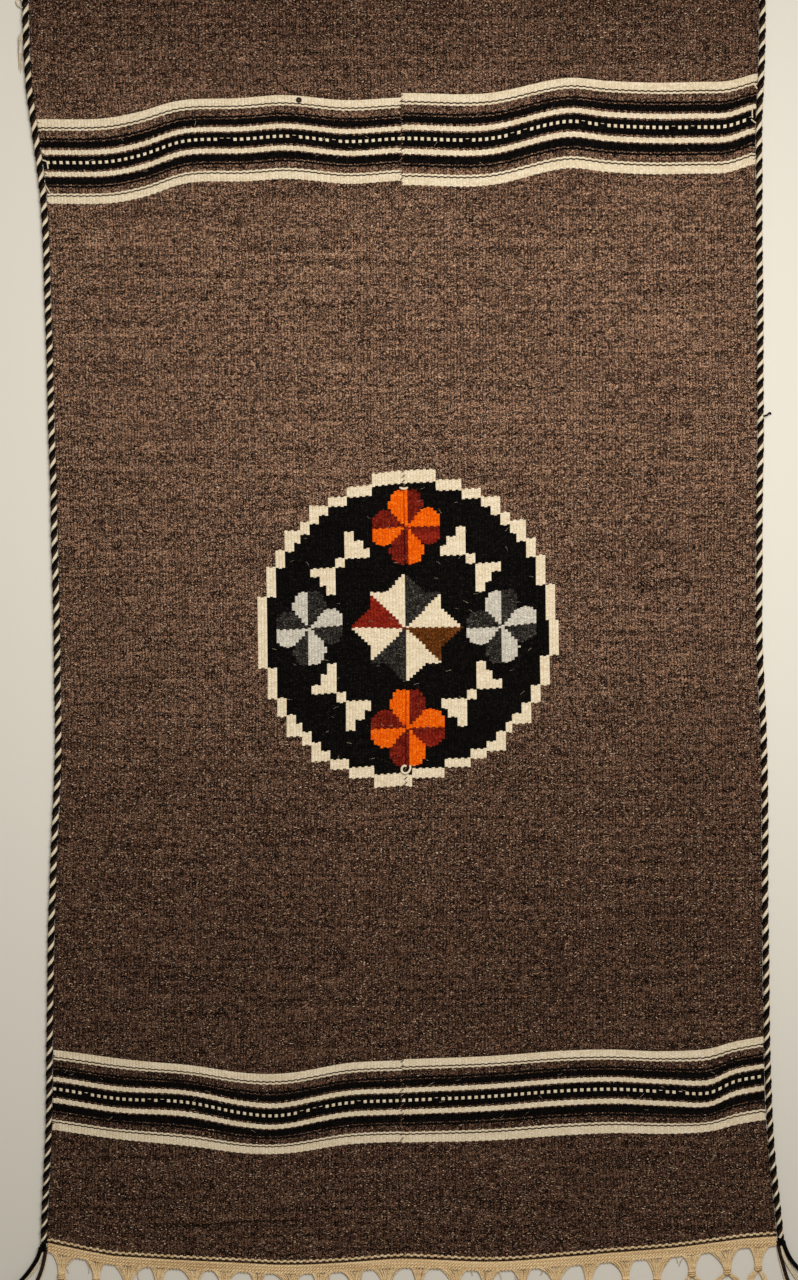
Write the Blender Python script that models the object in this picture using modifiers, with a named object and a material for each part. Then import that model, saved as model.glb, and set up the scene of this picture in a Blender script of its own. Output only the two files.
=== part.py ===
"""Mexican serape in two loom widths, laid flat with its head slit closed.

Metres, +Z up. The cloth lies on Z = 0, its length along Y and its width along X.
Every piece is made from the same smooth map of the cloth: how far out each selvedge
runs, how the weft drifts, and where the cloth stands up in soft ripples.
"""

import math
from collections import namedtuple

import bpy
import bmesh
from mathutils import Vector

# Cloth, in metres
WALL = 0.0025                 # a thick weft-faced wool blanket
SEAM_GAP = 0.0003             # between pieces that are sewn together
SLIT_GAP = 0.0009             # between the two unsewn lips of the head slit
SLIT_TOP = 0.214
SLIT_BOTTOM = -0.216
BOTTOM_END = -0.970           # the cloth's own ends and the middles of the striped bands
LOWER_BAND = -0.728
UPPER_BAND = 0.752
TOP_END = 1.000
HALF_WIDTH = 0.550
CLOTH_ROWS = 40
GROUPS_A_PANEL = 11           # knotted groups of fringe on one panel's end
MIDDLE_IN_BOX = Vector((0.0014, -0.0202))   # the garment's middle, from the middle of its box

# Where the selvedges and the seam lie, by height on the garment. The outside of the
# edging cords bows in at the middle and out at the corners.
EdgeRow = namedtuple("EdgeRow", "along left seam right")
EDGE_ROWS = (
    EdgeRow(-0.942, -0.561, -0.003, 0.583),
    EdgeRow(-0.758, -0.553, -0.005, 0.566),
    EdgeRow(-0.573, -0.551, -0.003, 0.561),
    EdgeRow(-0.388, -0.547, 0.000, 0.559),
    EdgeRow(-0.203, -0.539, 0.001, 0.558),
    EdgeRow(0.000, -0.541, 0.001, 0.550),
    EdgeRow(0.351, -0.550, -0.004, 0.552),
    EdgeRow(0.659, -0.561, -0.005, 0.550),
    EdgeRow(0.782, -0.577, -0.006, 0.550),
    EdgeRow(0.844, -0.585, -0.006, 0.553),
    EdgeRow(1.010, -0.590, -0.007, 0.556),
)

# How far the weft has drifted up or down, by place across the garment, on the two end
# edges and on the two striped bands. Between the bands the one changes into the other.
DriftRow = namedtuple("DriftRow", "across bottom lower upper top")
DRIFT_ROWS = (
    DriftRow(-0.547, 0.024, 0.021, -0.034, -0.015),
    DriftRow(-0.454, 0.005, 0.006, -0.032, -0.014),
    DriftRow(-0.331, -0.003, -0.009, -0.002, -0.004),
    DriftRow(-0.177, -0.010, -0.019, 0.006, 0.004),
    DriftRow(-0.085, -0.006, -0.004, -0.002, 0.000),
    DriftRow(0.000, 0.000, 0.000, 0.000, 0.000),
    DriftRow(0.131, -0.005, 0.005, 0.002, 0.002),
    DriftRow(0.254, 0.004, 0.013, 0.027, 0.014),
    DriftRow(0.393, 0.016, 0.013, 0.017, 0.012),
    DriftRow(0.531, 0.034, 0.034, 0.030, 0.020),
)

# Soft ripples that stand off the floor: middle, direction, half length, half width, height
Ripple = namedtuple("Ripple", "across along turn half_length half_width height")
RIPPLES = (
    Ripple(-0.330, 0.600, 70, 0.300, 0.110, 0.0055),
    Ripple(-0.150, 0.760, 100, 0.190, 0.100, 0.0040),
    Ripple(0.255, 0.640, 95, 0.290, 0.110, 0.0060),
    Ripple(0.430, 0.520, 80, 0.260, 0.090, 0.0040),
    Ripple(0.010, 0.480, 4, 0.170, 0.090, 0.0035),
    Ripple(-0.400, 0.120, 84, 0.240, 0.090, 0.0040),
    Ripple(0.420, -0.060, 98, 0.240, 0.090, 0.0040),
    Ripple(-0.180, -0.560, 96, 0.270, 0.110, 0.0060),
    Ripple(-0.400, -0.620, 70, 0.220, 0.090, 0.0040),
    Ripple(0.110, -0.520, 174, 0.160, 0.090, 0.0035),
    Ripple(0.330, -0.640, 74, 0.260, 0.110, 0.0055),
)
RIPPLE_FADE = 0.070           # the ripples die out this far from every edge

# Edging cords: three strands, laid so that they slant up to the right on top
CORD_RADIUS = 0.0055
CORD_SEAT = 0.0050            # cord axis from the selvedge, 0.3 mm clear of the wall
CORD_PITCH = 0.030            # one full turn of the three strands
CORD_SECTIONS_A_TURN = 8
CORD_STRANDS = 3

# Fringe: a heading, a row of knotted groups, a row of net knots and their free locks.
# Depths run outwards from the cloth's end edge.
FLOOR_CLEARANCE = 0.0004
GROUP_COLUMNS = (0.20, 0.50, 0.80)   # the stretch of heading that a group leaves from
ARCH_DEPTH = 0.013            # heading at the arch between two groups
SCALLOP_DEPTH = 0.020         # heading where a group leaves it
FIRST_KNOT_DEPTH = 0.036
LEG_ROOT_DEPTH = 0.046
NET_KNOT_DEPTH = 0.078
LOCK_ROOT_DEPTH = 0.089
LOCK_MIDDLE_DEPTH = 0.117
LOCK_TIP_DEPTH = 0.143
KNOT_HALF_WIDTH = 0.0070
KNOT_WAIST = 0.8              # first knots narrow to this where the legs part
KNOT_BULGE = 1.15             # net knots widen to this where the locks leave
HEADING_THICKNESS = 0.0032
KNOT_THICKNESS = 0.0080
LEG_THICKNESS = 0.0036
LOCK_THICKNESS = 0.0034
LOCK_TIP_THICKNESS = 0.0020
LOCKS_A_KNOT = 3
LOCK_HALF_WIDTH = 0.0027
LOCK_TIP_HALF_WIDTH = 0.0012
LOCK_SPACING = 0.0075         # between the locks of a knot halfway down, and at the tips
LOCK_TIP_SPACING = 0.0100
LOCK_HUMP = 0.0015            # a lock's middle stands this much higher than its ends
END_KNOT_INSET = 0.008        # the outermost net knots sit in from the selvedge
GROUP_SWAY = 0.05             # unevenness: groups, in shares of a group, then metres
KNOT_SWAY = 0.0028
TIP_SWAY = 0.0030
TIP_UNEVENNESS = 0.007

# Corner tails: a knot on the cord's end and three strands that curl away
TAIL_HEAD_LENGTH = 0.014
TAIL_HEAD_HALF_WIDTH = 0.0055
TAIL_HEAD_STEPS = ((0.0, 0.6), (0.5, 1.0), (1.0, 0.7))   # share of length, of thickness
TAIL_STRAND_HALF_WIDTH = 0.0022
TAIL_STRAND_STEPS = (0.30, 0.65, 1.0)
TAIL_CURL = 1.5               # how late a strand turns outwards
TAIL_HUMP = 0.0012
Tail = namedtuple("Tail", "name side end lengths outward")
TAILS = (
    Tail("tail_bottom_left", -1, -1, (0.105, 0.090, 0.118), (0.072, 0.052, 0.034)),
    Tail("tail_bottom_right", 1, -1, (0.092, 0.104, 0.110), (0.062, 0.046, 0.030)),
    Tail("tail_top_left", -1, 1, (0.096, 0.108, 0.088), (0.058, 0.042, 0.026)),
    Tail("tail_top_right", 1, 1, (0.100, 0.086, 0.112), (0.066, 0.047, 0.030)),
)

# Stays at the ends of the slit
STAY_YARN_RADIUS = 0.0018
STAY_LIFT = 0.0003            # clear of the cloth that it is sewn to
BAR_HALF_LENGTH = 0.0062
BAR_RISE = 0.0022             # how far the crescent's ends turn up
BAR_STEPS = (-1.0, -0.6, -0.2, 0.2, 0.6, 1.0)
LOOP_POINTS = ((0.0070, 0.0050), (0.0068, -0.0010), (0.0035, -0.0060), (-0.0015, -0.0075),
               (-0.0058, -0.0045), (-0.0060, 0.0005), (-0.0030, 0.0040), (0.0010, 0.0035))


# Reading the tables

def read_table(rows, by, column, at):
    """Value of a column between rows, on a smooth curve that passes through every row."""
    keys = [getattr(row, by) for row in rows]
    values = [getattr(row, column) for row in rows]
    at = min(max(at, keys[0]), keys[-1])
    after = next(i for i in range(1, len(keys)) if at <= keys[i])
    before = after - 1

    def slope(i):
        low = max(i - 1, 0)
        high = min(i + 1, len(keys) - 1)
        return (values[high] - values[low]) / (keys[high] - keys[low])

    span = keys[after] - keys[before]
    share = (at - keys[before]) / span
    rise = 3 * share ** 2 - 2 * share ** 3
    lead_in = span * share * (1 - share) ** 2 * slope(before)
    lead_out = span * share ** 2 * (share - 1) * slope(after)
    return values[before] + (values[after] - values[before]) * rise + lead_in + lead_out


def ease(share):
    """0 to 1 with level ends."""
    share = min(max(share, 0.0), 1.0)
    return share * share * (3 - 2 * share)


def weft_drift(across, along):
    """How far the weft at this place has slid along the garment."""
    def drift_on(column):
        return read_table(DRIFT_ROWS, "across", column, across)

    if along >= UPPER_BAND:
        share = ease((along - UPPER_BAND) / (TOP_END - UPPER_BAND))
        return drift_on("upper") * (1 - share) + drift_on("top") * share
    if along >= LOWER_BAND:
        share = (along - LOWER_BAND) / (UPPER_BAND - LOWER_BAND)
        return drift_on("lower") * (1 - share) + drift_on("upper") * share
    share = ease((along - LOWER_BAND) / (BOTTOM_END - LOWER_BAND))
    return drift_on("lower") * (1 - share) + drift_on("bottom") * share


def lip_gap(y):
    """Half the gap between the panels: a seam, or the lips of the slit."""
    if SLIT_BOTTOM < y < SLIT_TOP:
        return SLIT_GAP / 2
    return SEAM_GAP / 2


def cloth_place(side, share, along):
    """Plan position of a point of the cloth, share 0 at the seam and 1 at the selvedge."""
    y = along + weft_drift(side * share * HALF_WIDTH, along)
    seam = read_table(EDGE_ROWS, "along", "seam", y) + side * lip_gap(y)
    column = "left" if side < 0 else "right"
    cord_outside = read_table(EDGE_ROWS, "along", column, y)
    selvedge = cord_outside - side * (CORD_RADIUS + CORD_SEAT)
    return Vector((seam + (selvedge - seam) * share, y))


def cloth_lift(place, share, along):
    """Height of the cloth's underside: the ripples, level with the floor between them."""
    height = 0.0
    for ripple in RIPPLES:
        turn = math.radians(ripple.turn)
        x = place.x - ripple.across
        y = place.y - ripple.along
        lengthwise = (x * math.cos(turn) + y * math.sin(turn)) / ripple.half_length
        crosswise = (y * math.cos(turn) - x * math.sin(turn)) / ripple.half_width
        distance = math.hypot(lengthwise, crosswise)
        if distance < 1:
            height = max(height, ripple.height * ease(1 - distance))
    from_selvedge = (1 - share) * HALF_WIDTH
    from_end = min(TOP_END - along, along - BOTTOM_END)
    return height * ease(from_selvedge / RIPPLE_FADE) * ease(from_end / RIPPLE_FADE)


def row_along(row):
    """Along the garment at a row of the cloth, row 0 at the bottom end."""
    return BOTTOM_END + (TOP_END - BOTTOM_END) * row / CLOTH_ROWS


def vary(index, which):
    """A number from -1 to 1 that looks uneven from one index to the next."""
    return math.sin(2.399 * index + 1.711 * which)


def on_polyline(points, at):
    """Point at a fractional index of a line of points."""
    low = min(int(at), len(points) - 2)
    return points[low].lerp(points[low + 1], at - low)


# Objects

collection = None


def start_scene():
    """Empty the file and make the garment's collection."""
    global collection
    for old in list(bpy.data.objects):
        bpy.data.objects.remove(old, do_unlink=True)
    collection = bpy.data.collections.new("mexican_serape")
    bpy.context.scene.collection.children.link(collection)


def make_material(name, colour, roughness):
    """A Principled material of one plain colour."""
    material = bpy.data.materials.new(name)
    material.use_nodes = True
    shader = material.node_tree.nodes["Principled BSDF"]
    shader.inputs["Base Color"].default_value = (*colour, 1.0)
    shader.inputs["Roughness"].default_value = roughness
    shader.inputs["Metallic"].default_value = 0.0
    return material


def add_object(name, data, colour, roughness=0.9):
    """Put a mesh or curve in the collection, with a material of its own."""
    thing = bpy.data.objects.new(name, data)
    data.materials.append(make_material(name + "_finish", colour, roughness))
    collection.objects.link(thing)
    thing.location = (MIDDLE_IN_BOX.x, MIDDLE_IN_BOX.y, 0.0)
    return thing


def thicken(thing, thickness, group=None):
    """Give a sheet its wall, upwards from its underside."""
    wall = thing.modifiers.new("wall", "SOLIDIFY")
    wall.thickness = thickness
    wall.offset = 1.0
    if group:
        wall.vertex_group = group


BROWN_WOOL = (0.115, 0.068, 0.042)
BLACK_WOOL = (0.012, 0.009, 0.008)
CREAM_COTTON = (0.620, 0.500, 0.330)
CREAM_WOOL = (0.680, 0.600, 0.450)


# Panels

def make_panel(name, side):
    """One loom width: a grid laid out by the cloth's map, with its wall added on top."""
    mesh_work = bmesh.new()
    bmesh.ops.create_grid(mesh_work, x_segments=GROUPS_A_PANEL, y_segments=CLOTH_ROWS, size=0.5)
    for corner in mesh_work.verts:
        across_share = corner.co.x + 0.5
        share = across_share if side > 0 else 1 - across_share
        along = BOTTOM_END + (TOP_END - BOTTOM_END) * (corner.co.y + 0.5)
        place = cloth_place(side, share, along)
        corner.co = (place.x, place.y, cloth_lift(place, share, along))
    mesh = bpy.data.meshes.new(name)
    mesh_work.to_mesh(mesh)
    mesh_work.free()
    mesh.shade_smooth()
    panel = add_object(name, mesh, BROWN_WOOL)
    thicken(panel, WALL)


# Edging cords

def selvedge_line(side):
    """The selvedge's corners, one for each row of the cloth, from the bottom up."""
    return [cloth_place(side, 1.0, row_along(row)) for row in range(CLOTH_ROWS + 1)]


def make_cord(name, side):
    """A three-cornered rope twisted along the selvedge, closed at both ends."""
    line = selvedge_line(side)
    length = sum((b - a).length for a, b in zip(line, line[1:]))
    sections = round(length / CORD_PITCH * CORD_SECTIONS_A_TURN)
    mesh_work = bmesh.new()
    rings = []
    for section in range(sections + 1):
        share = section / sections
        middle = on_polyline(line, share * CLOTH_ROWS)
        turn = -2 * math.pi * share * length / CORD_PITCH
        ring = []
        for strand in range(CORD_STRANDS):
            angle = turn + 2 * math.pi * strand / CORD_STRANDS
            x = middle.x + side * CORD_SEAT + CORD_RADIUS * math.cos(angle)
            z = CORD_RADIUS + CORD_RADIUS * math.sin(angle)
            ring.append(mesh_work.verts.new((x, middle.y, z)))
        rings.append(ring)
    for lower, upper in zip(rings, rings[1:]):
        for strand in range(CORD_STRANDS):
            following = (strand + 1) % CORD_STRANDS
            mesh_work.faces.new((lower[strand], upper[strand], upper[following], lower[following]))
    mesh_work.faces.new(rings[0])
    mesh_work.faces.new(reversed(rings[-1]))
    mesh = bpy.data.meshes.new(name)
    bmesh.ops.recalc_face_normals(mesh_work, faces=mesh_work.faces)
    mesh_work.to_mesh(mesh)
    mesh_work.free()
    mesh.set_sharp_from_angle(angle=math.radians(50))
    add_object(name, mesh, CREAM_WOOL)


# Sheets of knots and locks, drawn in plan and then thickened

class KnotSheet:
    """A plan of strips, knots and locks that share corners, each corner with a thickness."""

    def __init__(self, name, greatest):
        self.name = name
        self.greatest = greatest
        self.work = bmesh.new()
        self.thickness = []

    def corner(self, x, y, z, thickness):
        self.thickness.append(thickness)
        return self.work.verts.new((x, y, z))

    def strip(self, first, second):
        """Faces between two rows of corners of equal number."""
        for i in range(len(first) - 1):
            self.work.faces.new((first[i], first[i + 1], second[i + 1], second[i]))

    def finish(self, colour):
        for face in self.work.faces:
            face.normal_update()
            if face.normal.z < 0:
                face.normal_flip()
        mesh = bpy.data.meshes.new(self.name)
        self.work.verts.index_update()
        self.work.to_mesh(mesh)
        self.work.free()
        thing = add_object(self.name, mesh, colour)
        group = thing.vertex_groups.new(name="thickness")
        for index, value in enumerate(self.thickness):
            group.add([index], value / self.greatest, "REPLACE")
        thicken(thing, self.greatest, "thickness")


def end_line(end):
    """The cloth's end edge, one point for each column of both panels, from left to right."""
    along = TOP_END if end > 0 else BOTTOM_END
    columns = range(GROUPS_A_PANEL + 1)
    left = [cloth_place(-1, column / GROUPS_A_PANEL, along) for column in reversed(columns)]
    right = [cloth_place(1, column / GROUPS_A_PANEL, along) for column in columns]
    seam = (left[-1] + right[0]) / 2
    return left[:-1] + [seam] + right[1:]


def make_heading(sheet, corner, groups):
    """The heading along the whole end. Returns the corners of its outer side."""
    columns = []
    for group in range(groups):
        columns.append((group, ARCH_DEPTH))
        for column in GROUP_COLUMNS:
            columns.append((group + column, SCALLOP_DEPTH))
    columns.append((groups, ARCH_DEPTH))
    top = [corner(at, 0.0, HEADING_THICKNESS, clearance=0.0) for at, _ in columns]
    bottom = [corner(at, depth, HEADING_THICKNESS, clearance=0.0) for at, depth in columns]
    sheet.strip(top, bottom)
    return bottom


def make_fringe(name, end):
    """Heading, knotted groups, net legs, net knots and free locks on one end of the cloth."""
    line = end_line(end)
    groups = 2 * GROUPS_A_PANEL
    sheet = KnotSheet(name, KNOT_THICKNESS)

    def corner(at, depth, thickness, aside=0.0, clearance=FLOOR_CLEARANCE):
        place = on_polyline(line, at)
        y = place.y + end * (SEAM_GAP + depth)
        return sheet.corner(place.x + aside, y, clearance, thickness)

    heading = make_heading(sheet, corner, groups)
    columns_a_group = 1 + len(GROUP_COLUMNS)
    legs_from = []
    for group in range(groups):
        first = columns_a_group * group + 1
        leaving = heading[first:first + len(GROUP_COLUMNS)]
        centre = group + 0.5 + GROUP_SWAY * vary(group, end)
        knot_depth = FIRST_KNOT_DEPTH + KNOT_SWAY * vary(group, 2 * end)
        knot = [corner(centre, knot_depth, LEG_THICKNESS, -KNOT_HALF_WIDTH),
                corner(centre, knot_depth, KNOT_THICKNESS),
                corner(centre, knot_depth, LEG_THICKNESS, KNOT_HALF_WIDTH)]
        roots = [corner(centre, LEG_ROOT_DEPTH, LEG_THICKNESS, KNOT_WAIST * offset)
                 for offset in (-KNOT_HALF_WIDTH, 0.0, KNOT_HALF_WIDTH)]
        sheet.strip(leaving, knot)
        sheet.strip(knot, roots)
        legs_from.append(roots)

    for knot in range(groups + 1):
        sway = KNOT_SWAY * vary(knot, 3 * end)
        if knot == 0:
            sway += END_KNOT_INSET
        if knot == groups:
            sway -= END_KNOT_INSET
        drop = KNOT_SWAY * vary(knot, 4 * end)
        offsets = [KNOT_HALF_WIDTH * (2 * i / LOCKS_A_KNOT - 1) for i in range(LOCKS_A_KNOT + 1)]
        thicknesses = [LEG_THICKNESS, KNOT_THICKNESS, KNOT_THICKNESS, LEG_THICKNESS]
        top = [corner(knot, NET_KNOT_DEPTH + drop, LEG_THICKNESS, sway + offset)
               for offset in offsets]
        bottom = [corner(knot, LOCK_ROOT_DEPTH + drop, thickness, sway + KNOT_BULGE * offset)
                  for offset, thickness in zip(offsets, thicknesses)]
        sheet.strip(top, bottom)
        if knot > 0:
            sheet.strip(legs_from[knot - 1][1:], top[:2])
        if knot < groups:
            sheet.strip(legs_from[knot][:2], top[2:])
        for lock in range(LOCKS_A_KNOT):
            fan = lock - (LOCKS_A_KNOT - 1) / 2
            count = knot * LOCKS_A_KNOT + lock
            middle = sway + fan * LOCK_SPACING
            tip = sway + fan * LOCK_TIP_SPACING + TIP_SWAY * vary(count, 5 * end)
            tip_depth = LOCK_TIP_DEPTH + TIP_UNEVENNESS * vary(count, 6 * end)
            waist = [corner(knot, LOCK_MIDDLE_DEPTH, LOCK_THICKNESS, middle + offset,
                            FLOOR_CLEARANCE + LOCK_HUMP)
                     for offset in (-LOCK_HALF_WIDTH, LOCK_HALF_WIDTH)]
            ends = [corner(knot, tip_depth, LOCK_TIP_THICKNESS, tip + offset)
                    for offset in (-LOCK_TIP_HALF_WIDTH, LOCK_TIP_HALF_WIDTH)]
            sheet.strip(bottom[lock:lock + 2], waist)
            sheet.strip(waist, ends)
    sheet.finish(CREAM_COTTON)


def make_tail(tail):
    """The knotted end of an edging cord, with strands that curl away from the fringe."""
    corner_place = selvedge_line(tail.side)[-1 if tail.end > 0 else 0]
    beside = Vector((tail.side * (TAIL_HEAD_HALF_WIDTH + SEAM_GAP), tail.end * SEAM_GAP))
    seat = corner_place + beside
    strands = len(tail.lengths)
    sheet = KnotSheet(tail.name, KNOT_THICKNESS)

    def corner(outward, depth, thickness, clearance=FLOOR_CLEARANCE):
        x = seat.x + tail.side * outward
        return sheet.corner(x, seat.y + tail.end * depth, clearance, thickness)

    offsets = [TAIL_HEAD_HALF_WIDTH * (1 - 2 * i / strands) for i in range(strands + 1)]
    head = [[corner(offset, depth * TAIL_HEAD_LENGTH, thickness * KNOT_THICKNESS)
             for offset in offsets] for depth, thickness in TAIL_HEAD_STEPS]
    sheet.strip(head[0], head[1])
    sheet.strip(head[1], head[2])
    for strand, (length, outward) in enumerate(zip(tail.lengths, tail.outward)):
        start = (offsets[strand] + offsets[strand + 1]) / 2
        before = head[2][strand:strand + 2]
        for share in TAIL_STRAND_STEPS:
            middle = start + outward * share ** TAIL_CURL
            depth = TAIL_HEAD_LENGTH + length * share * (1 - 0.25 * share)
            half_width = TAIL_STRAND_HALF_WIDTH * (1.25 - 0.55 * share)
            lift = FLOOR_CLEARANCE + TAIL_HUMP * math.sin(math.pi * share)
            pair = [corner(middle + half_width, depth, LOCK_THICKNESS, lift),
                    corner(middle - half_width, depth, LOCK_THICKNESS, lift)]
            sheet.strip(before, pair)
            before = pair
    sheet.finish(BLACK_WOOL)


# Stays of the head slit

def make_stay(name, points):
    """A short length of yarn that lies on the cloth, as a tube with closed ends."""
    curve = bpy.data.curves.new(name, "CURVE")
    curve.dimensions = "3D"
    curve.bevel_depth = STAY_YARN_RADIUS
    curve.bevel_resolution = 2
    curve.use_fill_caps = True
    line = curve.splines.new("POLY")
    line.points.add(len(points) - 1)
    for point, place in zip(line.points, points):
        point.co = (*place, 1.0)
    add_object(name, curve, CREAM_WOOL)


def stay_place(x, y):
    """A stay's axis over the cloth, which lies level round the slit."""
    seam = read_table(EDGE_ROWS, "along", "seam", y)
    return (seam + x, y, WALL + STAY_LIFT + STAY_YARN_RADIUS)


def make_stays():
    """The crescent over the top of the slit and the loop over its bottom."""
    bar = [stay_place(BAR_HALF_LENGTH * share, SLIT_TOP + BAR_RISE * share ** 2)
           for share in BAR_STEPS]
    make_stay("slit_bar_top", bar)
    loop = [stay_place(x, SLIT_BOTTOM + y) for x, y in LOOP_POINTS]
    make_stay("slit_loop_bottom", loop)


start_scene()
make_panel("panel_left", -1)
make_panel("panel_right", 1)
make_cord("edging_cord_left", -1)
make_cord("edging_cord_right", 1)
make_fringe("fringe_bottom", -1)
make_fringe("fringe_top", 1)
for corner_tail in TAILS:
    make_tail(corner_tail)
make_stays()
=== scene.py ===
"""A Mexican serape laid flat: two loom widths of wool tapestry, sewn together down the middle.

Metres, +Z up, the cloth's length along Y. The file follows the making of it: the widths are
woven, joined, edged with cord, and finished with a knotted fringe. Light and camera come last.
"""

import math
import random
from collections import namedtuple

import bpy
import numpy as np
from mathutils import Matrix, Vector


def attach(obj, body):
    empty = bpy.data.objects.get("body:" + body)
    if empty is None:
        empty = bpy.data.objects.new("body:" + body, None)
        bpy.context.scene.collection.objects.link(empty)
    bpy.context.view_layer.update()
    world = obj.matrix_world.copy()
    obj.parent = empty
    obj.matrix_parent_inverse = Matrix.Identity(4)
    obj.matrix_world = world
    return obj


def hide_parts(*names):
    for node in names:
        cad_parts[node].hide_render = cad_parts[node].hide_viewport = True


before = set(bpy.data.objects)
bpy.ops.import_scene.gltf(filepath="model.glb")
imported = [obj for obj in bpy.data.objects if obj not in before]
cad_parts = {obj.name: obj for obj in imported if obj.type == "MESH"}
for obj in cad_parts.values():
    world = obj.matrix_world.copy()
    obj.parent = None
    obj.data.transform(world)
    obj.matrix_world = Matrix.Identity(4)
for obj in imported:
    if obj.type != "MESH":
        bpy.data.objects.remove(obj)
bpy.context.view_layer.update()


# The two widths
# Weft-faced tapestry: cotton warps, wholly covered by soft hand-spun wool that is beaten down
# until only rows of small beads show. Each width was woven by itself with half the medallion,
# so its bands are a little thicker or thinner than its neighbour's, and the weft has drifted.

WALL = 0.0025                 # through the cloth
SEAM_GAP = 0.0003
SLIT_GAP = 0.0014             # between the unsewn lips of the head slit, at their top edge
LIP_SLANT = 0.00068           # how much nearer the seam a lip is at its foot
SLIT_TOP = 0.214
SLIT_BOTTOM = -0.216
BOTTOM_END = -0.970           # the cloth's ends and the middles of its bands, along the garment
LOWER_BAND = -0.728
UPPER_BAND = 0.752
TOP_END = 1.000
HALF_WIDTH = 0.550
CORD_RADIUS = 0.0055          # edging cord, and its axis from the selvedge
CORD_SEAT = 0.0050
MIDDLE_IN_BOX = Vector((0.0014, -0.0202, 0.0))   # the garment's middle in the frame

RIBS = 110                    # warps of one width, each of them a rib of the cloth
RIB = 0.00485                 # from one rib to the next in the medallion
PICK = 0.0015                 # height that one pick of weft adds
FIELD_PICKS_A_ROW = 10        # picks for one row of the mesh in the plain field
MEDALLION_PICKS = 164         # from the garment's middle up to plain field
END_PICKS = 64                # the stretch by the fringe, meshed pick by pick
UNDER_RIBS = 10               # the underside has one column for so many ribs
UNDER_ROWS = 12               # and one row for so many rows of the upper face
WEAVE_CREASE = math.radians(50)   # a sharper bend than this is shaded as an edge
BAND_THICKNESS = {(-1, "upper"): 0.128, (1, "upper"): 0.142,
                  (-1, "lower"): 0.1255, (1, "lower"): 0.1285}

EdgeRow = namedtuple("EdgeRow", "along left seam right")
EDGE_ROWS = (
    EdgeRow(-0.942, -0.561, -0.003, 0.583),
    EdgeRow(-0.758, -0.553, -0.005, 0.566),
    EdgeRow(-0.573, -0.551, -0.003, 0.561),
    EdgeRow(-0.388, -0.547, 0.000, 0.559),
    EdgeRow(-0.203, -0.539, 0.001, 0.558),
    EdgeRow(0.000, -0.541, 0.001, 0.550),
    EdgeRow(0.351, -0.550, -0.004, 0.552),
    EdgeRow(0.659, -0.561, -0.005, 0.550),
    EdgeRow(0.782, -0.577, -0.006, 0.550),
    EdgeRow(0.844, -0.585, -0.006, 0.553),
    EdgeRow(1.010, -0.590, -0.007, 0.556),
)

DriftRow = namedtuple("DriftRow", "across bottom lower foot star head upper top")
DRIFT_ROWS = (
    DriftRow(-0.547, 0.024, 0.017, -0.006, -0.006, -0.006, -0.037, -0.015),
    DriftRow(-0.454, 0.005, 0.005, -0.008, -0.008, -0.008, -0.036, -0.014),
    DriftRow(-0.400, 0.001, -0.001, -0.008, -0.008, -0.008, -0.026, -0.010),
    DriftRow(-0.331, -0.003, -0.008, -0.008, -0.008, -0.008, -0.0045, -0.004),
    DriftRow(-0.245, -0.007, -0.020, -0.009, -0.007, -0.009, -0.0015, 0.000),
    DriftRow(-0.177, -0.010, -0.019, -0.010, -0.006, -0.010, 0.003, 0.004),
    DriftRow(-0.085, -0.006, -0.004, -0.006, 0.001, -0.009, -0.005, 0.000),
    DriftRow(0.000, 0.000, 0.000, 0.000, 0.000, 0.000, 0.000, 0.000),
    DriftRow(0.131, -0.005, 0.005, 0.005, 0.003, 0.005, -0.001, 0.002),
    DriftRow(0.254, 0.004, 0.014, 0.014, 0.015, 0.014, 0.025, 0.014),
    DriftRow(0.320, 0.010, 0.0165, 0.013, 0.014, 0.013, 0.020, 0.013),
    DriftRow(0.393, 0.016, 0.013, 0.012, 0.013, 0.012, 0.017, 0.012),
    DriftRow(0.462, 0.025, 0.0155, 0.019, 0.019, 0.019, 0.0175, 0.016),
    DriftRow(0.505, 0.031, 0.027, 0.024, 0.024, 0.024, 0.019, 0.018),
    DriftRow(0.545, 0.034, 0.035, 0.026, 0.026, 0.026, 0.032, 0.020),
)
MEDALLION_REACH = MEDALLION_PICKS * PICK
DRIFT_LEVELS = ((BOTTOM_END, "bottom"), (LOWER_BAND, "lower"), (-MEDALLION_REACH, "foot"),
                (0.0, "star"), (MEDALLION_REACH, "head"), (UPPER_BAND, "upper"),
                (TOP_END, "top"))

# The inner stripes of the lower band sway more than its outer ones
SwayRow = namedtuple("SwayRow", "across sway")
SWAY_ROWS = (
    SwayRow(-0.540, 0.001), SwayRow(-0.450, -0.001), SwayRow(-0.350, 0.0042),
    SwayRow(-0.250, 0.0), SwayRow(-0.200, -0.003), SwayRow(-0.140, 0.0), SwayRow(0.0, 0.0),
    SwayRow(0.200, 0.0015), SwayRow(0.360, 0.0018), SwayRow(0.410, 0.0),
    SwayRow(0.465, -0.0045), SwayRow(0.505, 0.002), SwayRow(0.545, 0.002),
)
SWAY_REACH = 0.070            # from the lower band's middle

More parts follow.
